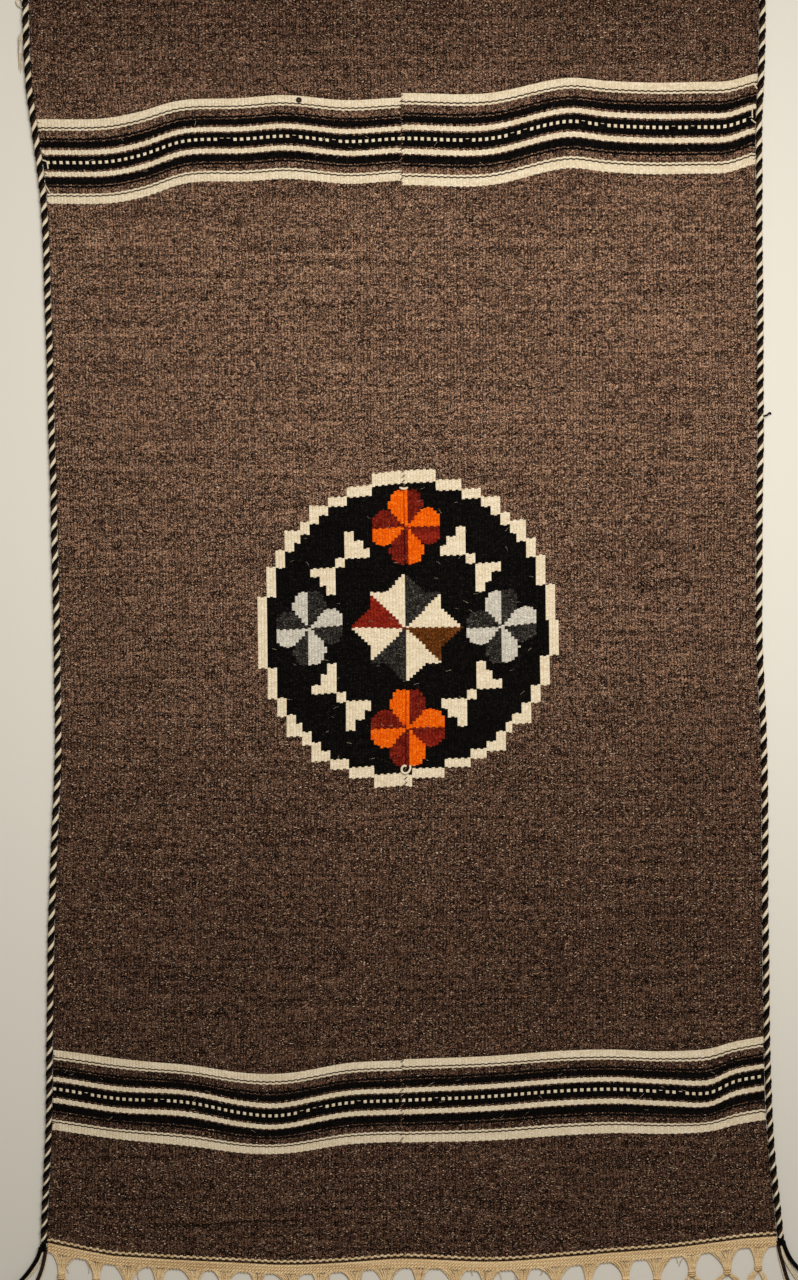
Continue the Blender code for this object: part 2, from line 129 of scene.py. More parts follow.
Ripple = namedtuple("Ripple", "across along turn half_length half_width height")
RIPPLES = (
    Ripple(-0.330, 0.600, 70, 0.300, 0.110, 0.0055),
    Ripple(-0.150, 0.760, 100, 0.190, 0.100, 0.0040),
    Ripple(0.255, 0.640, 95, 0.290, 0.110, 0.0060),
    Ripple(0.430, 0.520, 80, 0.260, 0.090, 0.0040),
    Ripple(0.010, 0.480, 4, 0.170, 0.090, 0.0035),
    Ripple(-0.400, 0.120, 84, 0.240, 0.090, 0.0040),
    Ripple(0.420, -0.060, 98, 0.240, 0.090, 0.0040),
    Ripple(-0.180, -0.560, 96, 0.270, 0.110, 0.0060),
    Ripple(-0.400, -0.620, 70, 0.220, 0.090, 0.0040),
    Ripple(0.110, -0.520, 174, 0.160, 0.090, 0.0035),
    Ripple(0.330, -0.640, 74, 0.260, 0.110, 0.0055),
)
RIPPLE_FADE = 0.070           # the ripples die out this far from every edge
TUCK = Ripple(-0.268, -0.911, 2.2, 0.135, 0.016, 0.0085)   # a crease folded over, by one end
TUCK_LEE = 0.21               # its lower side is this share as wide as its upper one
TUCK_BLUNT = 3                # its ends are blunter than a ripple's
TUCK_SWAY = 0.0012
TUCK_SWAY_LENGTH = 0.022


def read_table(rows, by, column, at):
    """A column of a table at one place or many, on a smooth curve through every row."""
    keys = np.array([getattr(row, by) for row in rows])
    values = np.array([getattr(row, column) for row in rows])
    places = np.arange(len(keys))
    low = np.maximum(places - 1, 0)
    high = np.minimum(places + 1, len(keys) - 1)
    slopes = (values[high] - values[low]) / (keys[high] - keys[low])
    at = np.clip(at, keys[0], keys[-1])
    after = np.clip(np.searchsorted(keys, at), 1, len(keys) - 1)
    before = after - 1
    span = keys[after] - keys[before]
    share = (at - keys[before]) / span
    rise = share ** 2 * (3 - 2 * share)
    lead_in = span * share * (1 - share) ** 2 * slopes[before]
    lead_out = span * share ** 2 * (share - 1) * slopes[after]
    return values[before] + (values[after] - values[before]) * rise + lead_in + lead_out


def ease(share):
    """0 to 1 with level ends."""
    share = np.clip(share, 0.0, 1.0)
    return share * share * (3 - 2 * share)


def weft_drift(across, along):
    """How far the weft at this place has slid along the garment."""
    drift = 0.0
    for (low, below), (high, above) in zip(DRIFT_LEVELS, DRIFT_LEVELS[1:]):
        share = ease((along - low) / (high - low))
        blend = (read_table(DRIFT_ROWS, "across", below, across) * (1 - share)
                 + read_table(DRIFT_ROWS, "across", above, across) * share)
        drift = np.where((along > low) | (low == BOTTOM_END), blend, drift)
    inside = ease(1 - np.abs(along - LOWER_BAND) / SWAY_REACH)
    return drift + inside * read_table(SWAY_ROWS, "across", "sway", across)


def cloth_place(side, share, along):
    """Plan position of the cloth, share 0 at the seam and 1 at the selvedge."""
    y = along + weft_drift(side * share * HALF_WIDTH, along)
    unsewn = (y > SLIT_BOTTOM) & (y < SLIT_TOP)
    lip_gap = np.where(unsewn, SLIT_GAP, SEAM_GAP) / 2
    seam = read_table(EDGE_ROWS, "along", "seam", y) + side * lip_gap
    cord_outside = read_table(EDGE_ROWS, "along", "left" if side < 0 else "right", y)
    selvedge = cord_outside - side * (CORD_RADIUS + CORD_SEAT)
    return seam + (selvedge - seam) * share, y


def cloth_lift(x, y, share, along):
    """Height of the cloth's underside: soft ripples, and level with the floor between them."""
    height = 0.0
    for ripple in (*RIPPLES, TUCK):
        turn = math.radians(ripple.turn)
        right = x - ripple.across
        up = y - ripple.along
        if ripple is TUCK:
            up = up - TUCK_SWAY * np.sin(right / TUCK_SWAY_LENGTH)
        lengthwise = (right * math.cos(turn) + up * math.sin(turn)) / ripple.half_length
        crosswise = (up * math.cos(turn) - right * math.sin(turn)) / ripple.half_width
        if ripple is TUCK:
            lengthwise = lengthwise ** TUCK_BLUNT
            crosswise = np.where(crosswise < 0, crosswise / TUCK_LEE, crosswise)
        distance = np.hypot(lengthwise, crosswise)
        height = np.maximum(height, ripple.height * ease(1 - distance))
    from_selvedge = (1 - share) * HALF_WIDTH
    from_end = np.minimum(TOP_END - along, along - BOTTOM_END)
    return height * ease(from_selvedge / RIPPLE_FADE) * ease(from_end / RIPPLE_FADE)


def linear(colour):
    """Linear colour, with alpha, of an sRGB hex value."""
    parts = [int(colour[i:i + 2], 16) / 255 for i in (1, 3, 5)]
    return (*[p / 12.92 if p <= 0.04045 else ((p + 0.055) / 1.055) ** 2.4 for p in parts], 1.0)


def add_node(tree, kind, inputs, **settings):
    """Add a node. An input is a value, a socket, or a node, which stands for its first output."""
    node = tree.nodes.new("ShaderNode" + kind)
    for name, value in settings.items():
        setattr(node, name, value)
    for name, value in inputs.items():
        if isinstance(value, bpy.types.Node):
            value = value.outputs[0]
        if isinstance(value, bpy.types.NodeSocket):
            tree.links.new(value, node.inputs[name])
        else:
            node.inputs[name].default_value = value
    return node


FIBRE_CLUMP = (0.0016, 0.0011, 0.0014)   # one tuft of like-coloured fibres in the yarn
KEMP_CLUMP = (0.0026, 0.0013, 0.0016)    # one coarse pale hair lying in it
SKEIN_STREAK = (0.260, 0.007, 0.050)     # a length of weft from one skein
BEAD_HEIGHT = 0.0008                     # relief of a bead, of a yarn's plies and of the fuzz
PLY_HEIGHT = 0.0004
FUZZ_HEIGHT = 0.0005
YARN_TWIST = 0.006                       # one turn of a yarn's two plies
RELIEF_STRENGTH, FUZZ_STRENGTH = 0.9, 0.8
FIBRE_ROUGHNESS = 0.7                    # how much the noise keeps of its finer layers
RAMP_REACH = 0.09                        # noise away from its middle, for the darkest fibres
OWN_SHADES = 0.10                        # how far a bead, and a skein, moves along the ramp
SKEIN_SHADES = 0.12
# Painted shade in the hollows between beads, and on a yarn's flanks and underside: how far it
# moves the grain along the ramp, and its offset towards dark
PAINTED_HOLLOW_SHADE, PAINTED_HOLLOW_DEPTH = 0.06, 0.068
KEMP_FROM, KEMP_FULL = 0.71, 0.84        # noise where a pale hair begins, and is at its palest
BEAD_ENDS = 0.55                         # height of a bead's ends over its middle's
PAINTED_SHADE_WARMTH = (1.0, 1.12, 1.14)           # painted shade is a little redder where it is deeper
WOOL_FINISH = {"Roughness": 0.93, "IOR": 1.54, "Specular IOR Level": 0.06,
               "Sheen Weight": 0.02, "Sheen Roughness": 0.6}
COLOUR_A, COLOUR_B, MIXED_COLOUR = 6, 7, 2   # the Mix node's colour sockets


def hump(tree, steps):
    """0 at every whole step and 1 halfway to the next."""
    part = add_node(tree, "Math", {0: steps}, operation="FRACT")
    angle = add_node(tree, "Math", {0: part, 1: math.pi}, operation="MULTIPLY")
    return add_node(tree, "Math", {0: angle}, operation="SINE")


def wool(name, dark, body, light, kemp, woven=True, grain=1.0, painted_shade=()):
    """Carded wool, spun by hand and left unbrushed: rough and matt, with a faint nap at grazing
    angles and no gloss. Dark and light fibres show as a fine salt-and-pepper grain, coarse
    kemp hairs as pale flecks, and each bead of weft as a little dome. Painted shade darkens the
    hollows between the beads, and on a plied yarn its flanks and underside. Grain is how strongly
    the fibres differ. The last argument, if given, lists places along the cloth and how deep the
    colour is multiplied there: painted shade for the light falling off towards the ends."""
    material = bpy.data.materials.new(name)
    material.use_nodes = True
    tree = material.node_tree
    shader = tree.nodes["Principled BSDF"]
    for finish, value in WOOL_FINISH.items():
        shader.inputs[finish].default_value = value
    shader.inputs["Sheen Tint"].default_value = linear(light)

    place = add_node(tree, "TexCoord", {}).outputs["Object"]
    noises = []
    for clump, detail in ((FIBRE_CLUMP, 2.0), (KEMP_CLUMP, 0.0), (SKEIN_STREAK, 1.0)):
        scaled = add_node(tree, "VectorMath", {0: place, 1: [1 / size for size in clump]},
                          operation="MULTIPLY")
        noises.append(add_node(tree, "TexNoise", {"Vector": scaled, "Scale": 1.0,
                                                  "Detail": detail,
                                                  "Roughness": FIBRE_ROUGHNESS}))
    fibres, hairs, streaks = noises

    if woven:
        weave = add_node(tree, "SeparateXYZ", {0: add_node(tree, "UVMap", {}, uv_map="weave")})
        rib = add_node(tree, "Math", {0: weave.outputs["X"]}, operation="FLOOR")
        odd = add_node(tree, "Math", {0: rib, 1: 2.0}, operation="MODULO")
        staggered = add_node(tree, "Math", {0: weave.outputs["Y"], 1: odd}, operation="SUBTRACT")
        pair = add_node(tree, "Math", {0: staggered, 1: 0.5}, operation="MULTIPLY")
        bead = add_node(tree, "Math", {0: pair}, operation="FLOOR")
        along = add_node(tree, "Math", {0: hump(tree, pair), 1: 1 - BEAD_ENDS, 2: BEAD_ENDS},
                         operation="MULTIPLY_ADD")
        relief = add_node(tree, "Math", {0: hump(tree, weave.outputs["X"]), 1: along},
                          operation="MULTIPLY")
        which = add_node(tree, "CombineXYZ", {"X": rib, "Y": bead})
        shade = add_node(tree, "TexWhiteNoise", {"Vector": which}, noise_dimensions="2D")
        # Painted shade: the hollows between the ribs and between the beads are darker
        height = relief
    else:
        lay = add_node(tree, "SeparateXYZ", {0: add_node(tree, "UVMap", {}, uv_map="lay")})
        turns = add_node(tree, "Math", {0: lay.outputs["Y"], 1: 1 / YARN_TWIST},
                         operation="MULTIPLY")
        slant = add_node(tree, "Math", {0: lay.outputs["X"], 1: turns}, operation="ADD")
        plies = add_node(tree, "Math", {0: slant, 1: 2 * math.pi}, operation="MULTIPLY")
        groove = add_node(tree, "Math", {0: plies}, operation="SINE")
        relief = add_node(tree, "Math", {0: groove}, operation="ABSOLUTE")
        # Painted shade: a yarn's top is lighter, and its flanks and underside are darker
        around = add_node(tree, "Math", {0: lay.outputs["X"], 1: 2 * math.pi},
                          operation="MULTIPLY")
        height = add_node(tree, "Math", {0: around}, operation="SINE")
        shade = fibres

    # A bead's own tone and its skein's move the grain along the ramp, and so does painted shade
    # in the hollow round each bead, or down a yarn's flanks and underside
    spread = 0.0
    for source, reach, start in ((shade, OWN_SHADES, -OWN_SHADES / 2),
                                 (streaks, SKEIN_SHADES, -SKEIN_SHADES / 2),
                                 (height, PAINTED_HOLLOW_SHADE, -PAINTED_HOLLOW_DEPTH),
                                 (fibres, grain, 0.5 - 0.5 * grain)):
        shift = add_node(tree, "Math", {0: source, 1: reach, 2: start}, operation="MULTIPLY_ADD")
        spread = add_node(tree, "Math", {0: spread, 1: shift}, operation="ADD")
    colour = add_node(tree, "ValToRGB", {"Fac": spread})
    ramp = colour.color_ramp
    ramp.elements[0].position = 0.5 - RAMP_REACH
    ramp.elements[0].color = linear(dark)
    ramp.elements[1].position = 0.5 + RAMP_REACH
    ramp.elements[1].color = linear(light)
    ramp.elements.new(0.5).color = linear(body)
    # Painted shade: the colour is multiplied darker, and a little redder, towards the cloth's
    # ends, where the light falls off
    if painted_shade:
        along = add_node(tree, "SeparateXYZ", {0: place}).outputs["Y"]
        level = add_node(tree, "MapRange", {"Value": along, "From Min": BOTTOM_END,
                                            "From Max": TOP_END})
        shade_ramp = add_node(tree, "ValToRGB", {"Fac": level})
        shade_ramp.color_ramp.interpolation = "EASE"
        stops = shade_ramp.color_ramp.elements
        stops.remove(stops[0])
        for number, (place_along, depth) in enumerate(painted_shade):
            share = (place_along - BOTTOM_END) / (TOP_END - BOTTOM_END)
            stop = stops[0] if number == 0 else stops.new(share)
            stop.position = share
            stop.color = (*[depth ** power for power in PAINTED_SHADE_WARMTH], 1.0)
        colour = add_node(tree, "Mix", {"Factor": 1.0, COLOUR_A: colour, COLOUR_B: shade_ramp},
                          data_type="RGBA", blend_type="MULTIPLY").outputs[MIXED_COLOUR]
    pale = add_node(tree, "MapRange", {"Value": hairs, "From Min": KEMP_FROM,
                                       "From Max": KEMP_FULL})
    flecked = add_node(tree, "Mix", {"Factor": pale, COLOUR_A: colour, COLOUR_B: linear(kemp)},
                       data_type="RGBA")
    tree.links.new(flecked.outputs[MIXED_COLOUR], shader.inputs["Base Color"])

    fuzz = add_node(tree, "Bump", {"Height": fibres, "Distance": FUZZ_HEIGHT,
                                   "Strength": FUZZ_STRENGTH})
    domes = add_node(tree, "Bump", {"Height": relief, "Strength": RELIEF_STRENGTH,
                                    "Distance": BEAD_HEIGHT if woven else PLY_HEIGHT,
                                    "Normal": fuzz})
    tree.links.new(domes.outputs[0], shader.inputs["Normal"])
    return material


# Weft yarns: name, then the darkest fibres, most of them, the palest, and the kemp hairs
WEFT = {
    "brown": ("natural_brown_fleece", "#0C0604", "#3F2A21", "#CEA284", "#E2C2A4"),
    "cream": ("natural_cream_fleece", "#D4C09E", "#EDDDC0", "#F8ECD4", "#FFF8E6"),
    "black": ("natural_black_fleece", "#020101", "#070504", "#161311", "#2C2621"),
    "umber": ("dark_umber_fleece", "#1C130E", "#35261D", "#524034", "#6E5846"),
    "orange": ("orange_dyed_wool", "#D04600", "#F46000", "#FF8010", "#FFA040"),
    "rust": ("rust_dyed_wool", "#440B05", "#6E160C", "#962E1C", "#B84C2C"),
    "brick": ("brick_dyed_wool", "#5C0F08", "#801A0F", "#A4321E", "#BE5030"),
    "tobacco": ("tobacco_dyed_wool", "#3A1C06", "#5E300C", "#82491C", "#A06E38"),
    "silver": ("silver_grey_fleece", "#ACA598", "#D0C9BC", "#E8E2D4", "#F4F0E4"),
    "slate": ("slate_grey_fleece", "#0B0A09", "#23201E", "#4E4943", "#807A70"),
    "ecru": ("ecru_cotton_weft", "#C4A06C", "#EED2A6", "#FCEAC8", "#FFF4DC"),
}
YARNS = list(WEFT)
# Painted shade on the brown field: deepest near the bottom end, lightest a little above the
# middle where the light is brightest
BROWN_PAINTED_SHADE = ((-0.88, 0.405), (-0.52, 0.42), (-0.33, 0.49), (0.03, 0.80), (0.34, 0.95),
              (0.56, 1.00), (0.78, 0.74), (0.94, 0.50))
weft_wools = [wool(*shades, painted_shade=BROWN_PAINTED_SHADE if yarn == "brown" else ())
              for yarn, shades in WEFT.items()]

# Stripes of a band from its top edge down, and how tall their picks are beaten against common
# ones. Two picks of a colour show as a wavy line, and one pick of cream as a row of dots.
Stripe = namedtuple("Stripe", "yarn picks height")
BAND = (
    Stripe("cream", 7, 1.05), Stripe("umber", 2, 0.65), Stripe("cream", 2, 0.85),
    Stripe("brown", 7, 1.00), Stripe("black", 2, 1.00), Stripe("brown", 2, 0.50),
    Stripe("black", 6, 1.00), Stripe("brown", 2, 1.00), Stripe("cream", 4, 1.10),
    Stripe("brown", 2, 0.75), Stripe("black", 5, 1.00), Stripe("cream", 1, 2.40),
    Stripe("black", 1, 1.50), Stripe("black", 5, 0.90), Stripe("brown", 2, 1.00),
    Stripe("cream", 4, 1.15), Stripe("brown", 2, 0.60), Stripe("black", 7, 1.00),
    Stripe("brown", 2, 0.50), Stripe("black", 2, 1.00), Stripe("brown", 6, 1.00),
    Stripe("cream", 2, 0.85), Stripe("umber", 2, 0.65), Stripe("cream", 7, 1.05),
)
FIRST_PICK = 0.5              # a stripe's first pick sinks in between the ribs below it
HALF_DOTS = 0.12              # this share of the dots shows as no more than a thin dash
END_STRIPES = (Stripe("umber", 2, 1.0), Stripe("ecru", 2, 1.0))   # from the end inwards

# The medallion's stepped ring, a quarter of it, in ribs out from the seam and picks up from
# the garment's middle. The right width's lower quarter was woven a few picks higher.
RingBlock = namedtuple("RingBlock", "from_rib to_rib top bottom")
RING = (
    RingBlock(0, 10, 162, 149), RingBlock(10, 18, 151, 140), RingBlock(18, 24, 141, 131),
    RingBlock(24, 30, 132, 122), RingBlock(27, 30, 122, 113), RingBlock(30, 33, 115, 102),
    RingBlock(33, 38, 106, 93), RingBlock(35, 38, 93, 84), RingBlock(38, 41, 86, 67),
    RingBlock(41, 44, 68, 37), RingBlock(44, 47, 37, 0),
)
RING_LOWER_RIGHT = (
    RingBlock(0, 2, 163, 151), RingBlock(2, 12, 155, 145), RingBlock(12, 20, 145, 136),
    RingBlock(20, 25, 137, 127), RingBlock(25, 31, 130, 120), RingBlock(28, 31, 120, 110),
    RingBlock(31, 33, 112, 101), RingBlock(33, 39, 104, 93), RingBlock(36, 39, 93, 83),
    RingBlock(39, 42, 84, 66), RingBlock(42, 45, 67, 37), RingBlock(45, 48, 37, 0),
)

# Stepped white triangles, joined by a small square, in each quarter
Stair = namedtuple("Stair", "from_rib to_rib from_pick to_pick")
STAIRS = (
    Stair(16, 19, 93, 103), Stair(13, 19, 84, 93), Stair(11, 19, 74, 84),
    Stair(19, 22, 65, 75),
    Stair(22, 30, 56, 65), Stair(22, 27, 46, 56), Stair(22, 25, 36, 46),
)

# Four-petalled flowers of eight sectors, and how wide a petal is from the middle out
Flower = namedtuple("Flower", "across along half_width half_height light dark low_accent")
FLOWERS = (
    Flower(0.0025, 0.1555, 0.0515, 0.0565, "orange", "rust", "brick"),
    Flower(0.0030, -0.1540, 0.0540, 0.0585, "orange", "rust", "brick"),
    Flower(-0.1480, 0.0040, 0.0510, 0.0560, "silver", "slate", "slate"),
    Flower(0.1465, -0.0017, 0.0525, 0.0555, "silver", "slate", "slate"),
)
PETAL_OUT = (0.0, 0.45, 0.62, 0.78, 0.90, 1.0)
PETAL_HALF_WIDTH = (0.0, 0.45, 0.50, 0.46, 0.40, 0.28)
ACCENT_SECTOR = 2             # under the right petal's middle line
ACCENT_FROM = 0.16

# Eight-pointed star: a square with a triangle on each side, in eight sectors from 12 o'clock
STAR_HALF_SIDE = 0.055
STAR_POINT = 0.085
STAR_POINT_HALF_BASE = 0.029
STAR_YARNS = ("slate", "cream", "tobacco", "cream", "slate", "cream", "brick", "cream")
SECTORS = 8


def sector_of(right, up):
    """Which eighth a direction lies in, clockwise from 12 o'clock."""
    turn = np.arctan2(right, up) % (2 * math.pi)
    return np.minimum((turn * SECTORS / (2 * math.pi)).astype(int), SECTORS - 1)


def medallion_chart(side, rib, pick):
    """Yarn of each bead of the medallion, from ribs out and picks up from the middle."""
    chart = np.full(rib.shape, YARNS.index("brown"))
    height = np.abs(pick)
    for lower in (False, True):
        blocks = RING_LOWER_RIGHT if side > 0 and lower else RING
        for yarn in ("black", "cream"):
            for block in blocks:
                bottom = 0 if yarn == "black" else block.bottom
                inside = ((pick < 0) == lower) & (rib >= block.from_rib) & (rib < block.to_rib)
                chart[inside & (height < block.top) & (height >= bottom)] = YARNS.index(yarn)
    for stair in STAIRS:
        inside = (rib >= stair.from_rib) & (rib < stair.to_rib)
        inside &= (height >= stair.from_pick) & (height < stair.to_pick)
        chart[inside] = YARNS.index("cream")

    x = side * (rib + 0.5) * RIB
    y = pick * PICK
    for flower in FLOWERS:
        right = (x - flower.across) / flower.half_width
        up = (y - flower.along) / flower.half_height
        out = np.maximum(np.abs(right), np.abs(up))
        aside = np.minimum(np.abs(right), np.abs(up))
        petal = (out <= 1) & (aside <= np.interp(out, PETAL_OUT, PETAL_HALF_WIDTH))
        sector = sector_of(right, up)
        chart[petal] = YARNS.index(flower.light)
        chart[petal & (sector % 2 == 0)] = YARNS.index(flower.dark)
        accent = petal & (sector == ACCENT_SECTOR) & (up < -ACCENT_FROM)
        chart[accent] = YARNS.index(flower.low_accent)

    out = np.maximum(np.abs(x), np.abs(y))
    aside = np.minimum(np.abs(x), np.abs(y))
    taper = STAR_POINT_HALF_BASE * (STAR_POINT - out) / (STAR_POINT - STAR_HALF_SIDE)
    star = (out <= STAR_HALF_SIDE) | (aside <= taper)
    colours = np.array([YARNS.index(yarn) for yarn in STAR_YARNS])
    chart[star] = colours[sector_of(x, y)][star]
    return chart


Stretch = namedtuple("Stretch", "design start end picks heights")


def pick_heights(stripe):
    """Heights of one stripe's picks."""
    if stripe.picks == 1:
        return [stripe.height]
    rest = (stripe.picks * stripe.height - FIRST_PICK) / (stripe.picks - 1)
    return [FIRST_PICK] + [rest] * (stripe.picks - 1)


def stretches(side):
    """What is woven up one width, from its bottom end."""
    lower = BAND_THICKNESS[side, "lower"] / 2
    upper = BAND_THICKNESS[side, "upper"] / 2
    end_reach = END_PICKS * PICK
    stops = (BOTTOM_END, BOTTOM_END + end_reach, LOWER_BAND - lower, LOWER_BAND + lower,
             -MEDALLION_REACH, MEDALLION_REACH, UPPER_BAND - upper, UPPER_BAND + upper,
             TOP_END - end_reach, TOP_END)
    designs = ("bottom", "field", "band", "field", "medallion", "field", "band", "field", "top")
    woven = []
    for design, start, end in zip(designs, stops, stops[1:]):
        picks = round((end - start) / PICK)
        heights = [1.0] * picks
        if design == "field":
            heights = [1.0] * math.ceil(picks / FIELD_PICKS_A_ROW)
        if design == "band":
            heights = [height for stripe in reversed(BAND) for height in pick_heights(stripe)]
            picks = len(heights)
        woven.append(Stretch(design, start, end, picks, heights))
    return woven


def stretch_chart(side, stretch, first_pick, column):
    """Yarn of each cell of a stretch. A bead is two picks tall, and steps by one on odd ribs."""
    rows = len(stretch.heights)
    chart = np.full((rows, RIBS), YARNS.index("brown"))
    if stretch.design == "field":
        return chart
    row, column = np.broadcast_arrays(np.arange(rows)[:, None], column[None, :])
    pick = row - (row + first_pick + column) % 2
    if stretch.design == "medallion":
        rib = column if side > 0 else RIBS - 1 - column
        return medallion_chart(side, rib, pick + 1 - MEDALLION_PICKS)
    stripes = BAND[::-1] if stretch.design == "band" else END_STRIPES
    laid = np.array([YARNS.index(s.yarn) for s in stripes for _ in range(s.picks)])
    if stretch.design == "top":
        pick = rows - 1 - pick
    woven = (pick >= 0) & (pick < len(laid))
    chart[woven] = laid[pick[woven]]
    if stretch.design == "band":
        lone = [s.yarn == "cream" and s.picks == 1 for s in stripes for _ in range(s.picks)]
        buried = np.random.default_rng(first_pick).random(RIBS) < HALF_DOTS
        chart[lone.index(True), buried] = YARNS.index("black")
    return chart


def add_piece(name, mesh, materials):
    """Put a mesh in the scene at the garment's place, riding on the only body."""
    piece = bpy.data.objects.new(name, mesh)
    for material in materials:
        mesh.materials.append(material)
    bpy.context.scene.collection.objects.link(piece)
    mesh.transform(Matrix.Translation(MIDDLE_IN_BOX))
    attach(piece, "root")
    return piece


def add_map(mesh, name, corners):
    """A UV map from one pair of numbers for each corner of each face."""
    layer = mesh.uv_layers.new(name=name)
    layer.uv.foreach_set("vector", np.asarray(corners, dtype=np.float32).ravel())


TOP_MAP = (0.0, 0.78)         # the bake map's stretches across: top, rim and underside
RIM_MAP = (0.79, 0.81)
UNDER_MAP = (0.82, 1.0)


def weave_width(name, side):
    """One width as a thin closed shell, its top meshed rib by rib and pick by pick."""
    woven = stretches(side)
    column = np.arange(RIBS)
    along = [np.array([BOTTOM_END])]
    picks = [np.array([0.0])]
    charts = []
    for stretch in woven:
        charts.append(stretch_chart(side, stretch, round(picks[-1][-1]), column))
        rows = len(stretch.heights)
        picks.append(picks[-1][-1] + stretch.picks * np.arange(1, rows + 1) / rows)
        rise = np.cumsum(stretch.heights) / sum(stretch.heights)
        along.append(stretch.start + (stretch.end - stretch.start) * rise)
    along = np.concatenate(along)
    picks = np.concatenate(picks)
    rows = len(along) - 1

    across = np.arange(RIBS + 1) / RIBS
    share = across if side > 0 else 1 - across
    share, along_at = np.meshgrid(share, along)
    x, y = cloth_place(side, share, along_at)
    z = cloth_lift(x, y, share, along_at)

    at = np.arange((rows + 1) * (RIBS + 1)).reshape(rows + 1, RIBS + 1)
    cells = np.stack([at[:-1, :-1], at[:-1, 1:], at[1:, 1:], at[1:, :-1]], -1).reshape(-1, 4)
    under_rows = np.unique(np.append(np.arange(0, rows, UNDER_ROWS), rows))
    under_columns = np.arange(0, RIBS + 1, UNDER_RIBS)
    kept = np.zeros(at.shape, dtype=bool)
    kept[np.ix_(under_rows, under_columns)] = True
    kept[[0, -1], :] = True
    kept[:, [0, -1]] = True
    below = np.full(at.shape, -1)
    below[kept] = at.size + np.arange(kept.sum())

    edge = ([(0, c) for c in range(RIBS)] + [(r, RIBS) for r in range(rows)]
            + [(rows, c) for c in range(RIBS, 0, -1)] + [(r, 0) for r in range(rows, 0, -1)])
    rim = [(below[a], below[b], at[b], at[a]) for a, b in zip(edge, edge[1:] + edge[:1])]
    underside = []
    for low, high in zip(under_rows, under_rows[1:]):
        for left, right in zip(under_columns, under_columns[1:]):
            corner = [(low, c) for c in range(left, right)]
            corner += [(r, right) for r in range(low, high)]
            corner += [(high, c) for c in range(right, left, -1)]
            corner += [(r, left) for r in range(high, low, -1)]
            underside.append([below[place] for place in reversed(corner) if kept[place]])

    upper = np.stack([x, y, z + WALL], -1).reshape(-1, 3)
    lip = (share == 0) & (y > SLIT_BOTTOM) & (y < SLIT_TOP)
    under_x = np.where(lip, x - side * LIP_SLANT, x)
    lower = np.stack([under_x[kept], y[kept], z[kept]], -1)
    mesh = bpy.data.meshes.new(name)
    mesh.from_pydata(np.vstack([upper, lower]).tolist(), [], cells.tolist() + rim + underside)
    chart = np.vstack(charts)
    rim_yarns = np.concatenate([chart[0], chart[:, -1], chart[-1, ::-1], chart[::-1, 0]])
    yarns = np.concatenate([chart.ravel(), rim_yarns, np.zeros(len(underside), dtype=int)])
    mesh.polygons.foreach_set("material_index", yarns.astype(np.int32))
    mesh.set_sharp_from_angle(angle=WEAVE_CREASE)

    corner_at = np.zeros(len(mesh.loops), dtype=np.int32)
    mesh.loops.foreach_get("vertex_index", corner_at)
    rib_at, pick_at = np.meshgrid(np.arange(RIBS + 1.0), picks)
    weave = np.stack([rib_at.ravel(), pick_at.ravel()], -1)
    weave = np.vstack([weave, np.stack([rib_at[kept], pick_at[kept]], -1)])
    add_map(mesh, "weave", weave[corner_at])
    spread = weave / (RIBS, picks[-1])
    flat = spread[corner_at]
    tops = cells.size
    rims = 4 * len(rim)
    flat[:tops, 0] = TOP_MAP[0] + flat[:tops, 0] * (TOP_MAP[1] - TOP_MAP[0])
    flat[tops + rims:, 0] = UNDER_MAP[0] + flat[tops + rims:, 0] * (UNDER_MAP[1] - UNDER_MAP[0])
    step = np.arange(len(rim)) / len(rim)
    following = step + 1 / len(rim)
    low = np.full(len(rim), RIM_MAP[0])
    high = np.full(len(rim), RIM_MAP[1])
    flat[tops:tops + rims] = np.stack([low, step, low, following, high, following, high, step],
                                      -1).reshape(-1, 2)
    add_map(mesh, "OFBake", flat)
    return add_piece(name, mesh, weft_wools)


for side, node, flat_width in ((-1, "panel_left", 0.548), (1, "panel_right", 0.550)):
    weave_width("width" + node.removeprefix("panel"), side)
    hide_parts(node)


# The centre seam
# The two widths are overcast edge to edge with a doubled brown weft yarn, above and below the
# head slit. Each stitch crosses the join on a slant and dives back into the cloth.

STITCH_PITCH = 0.0075
STITCH_REACH = 0.0030         # out from the join on each side
STITCH_RISE = 0.0009          # of the stitch's middle over the cloth
STITCH_RADIUS = 0.0007
STITCH_STEPS = 7
STITCH_DIVE = 1.8             # its ends go down by so many rises
STITCH_SLANT = 0.30           # of the pitch, and how much it differs from stitch to stitch
SLANT_SWAY = 0.08
SLANT_STEP = 2.4              # radians of that sway from one stitch to the next
TUBE_CREASE = math.radians(70)


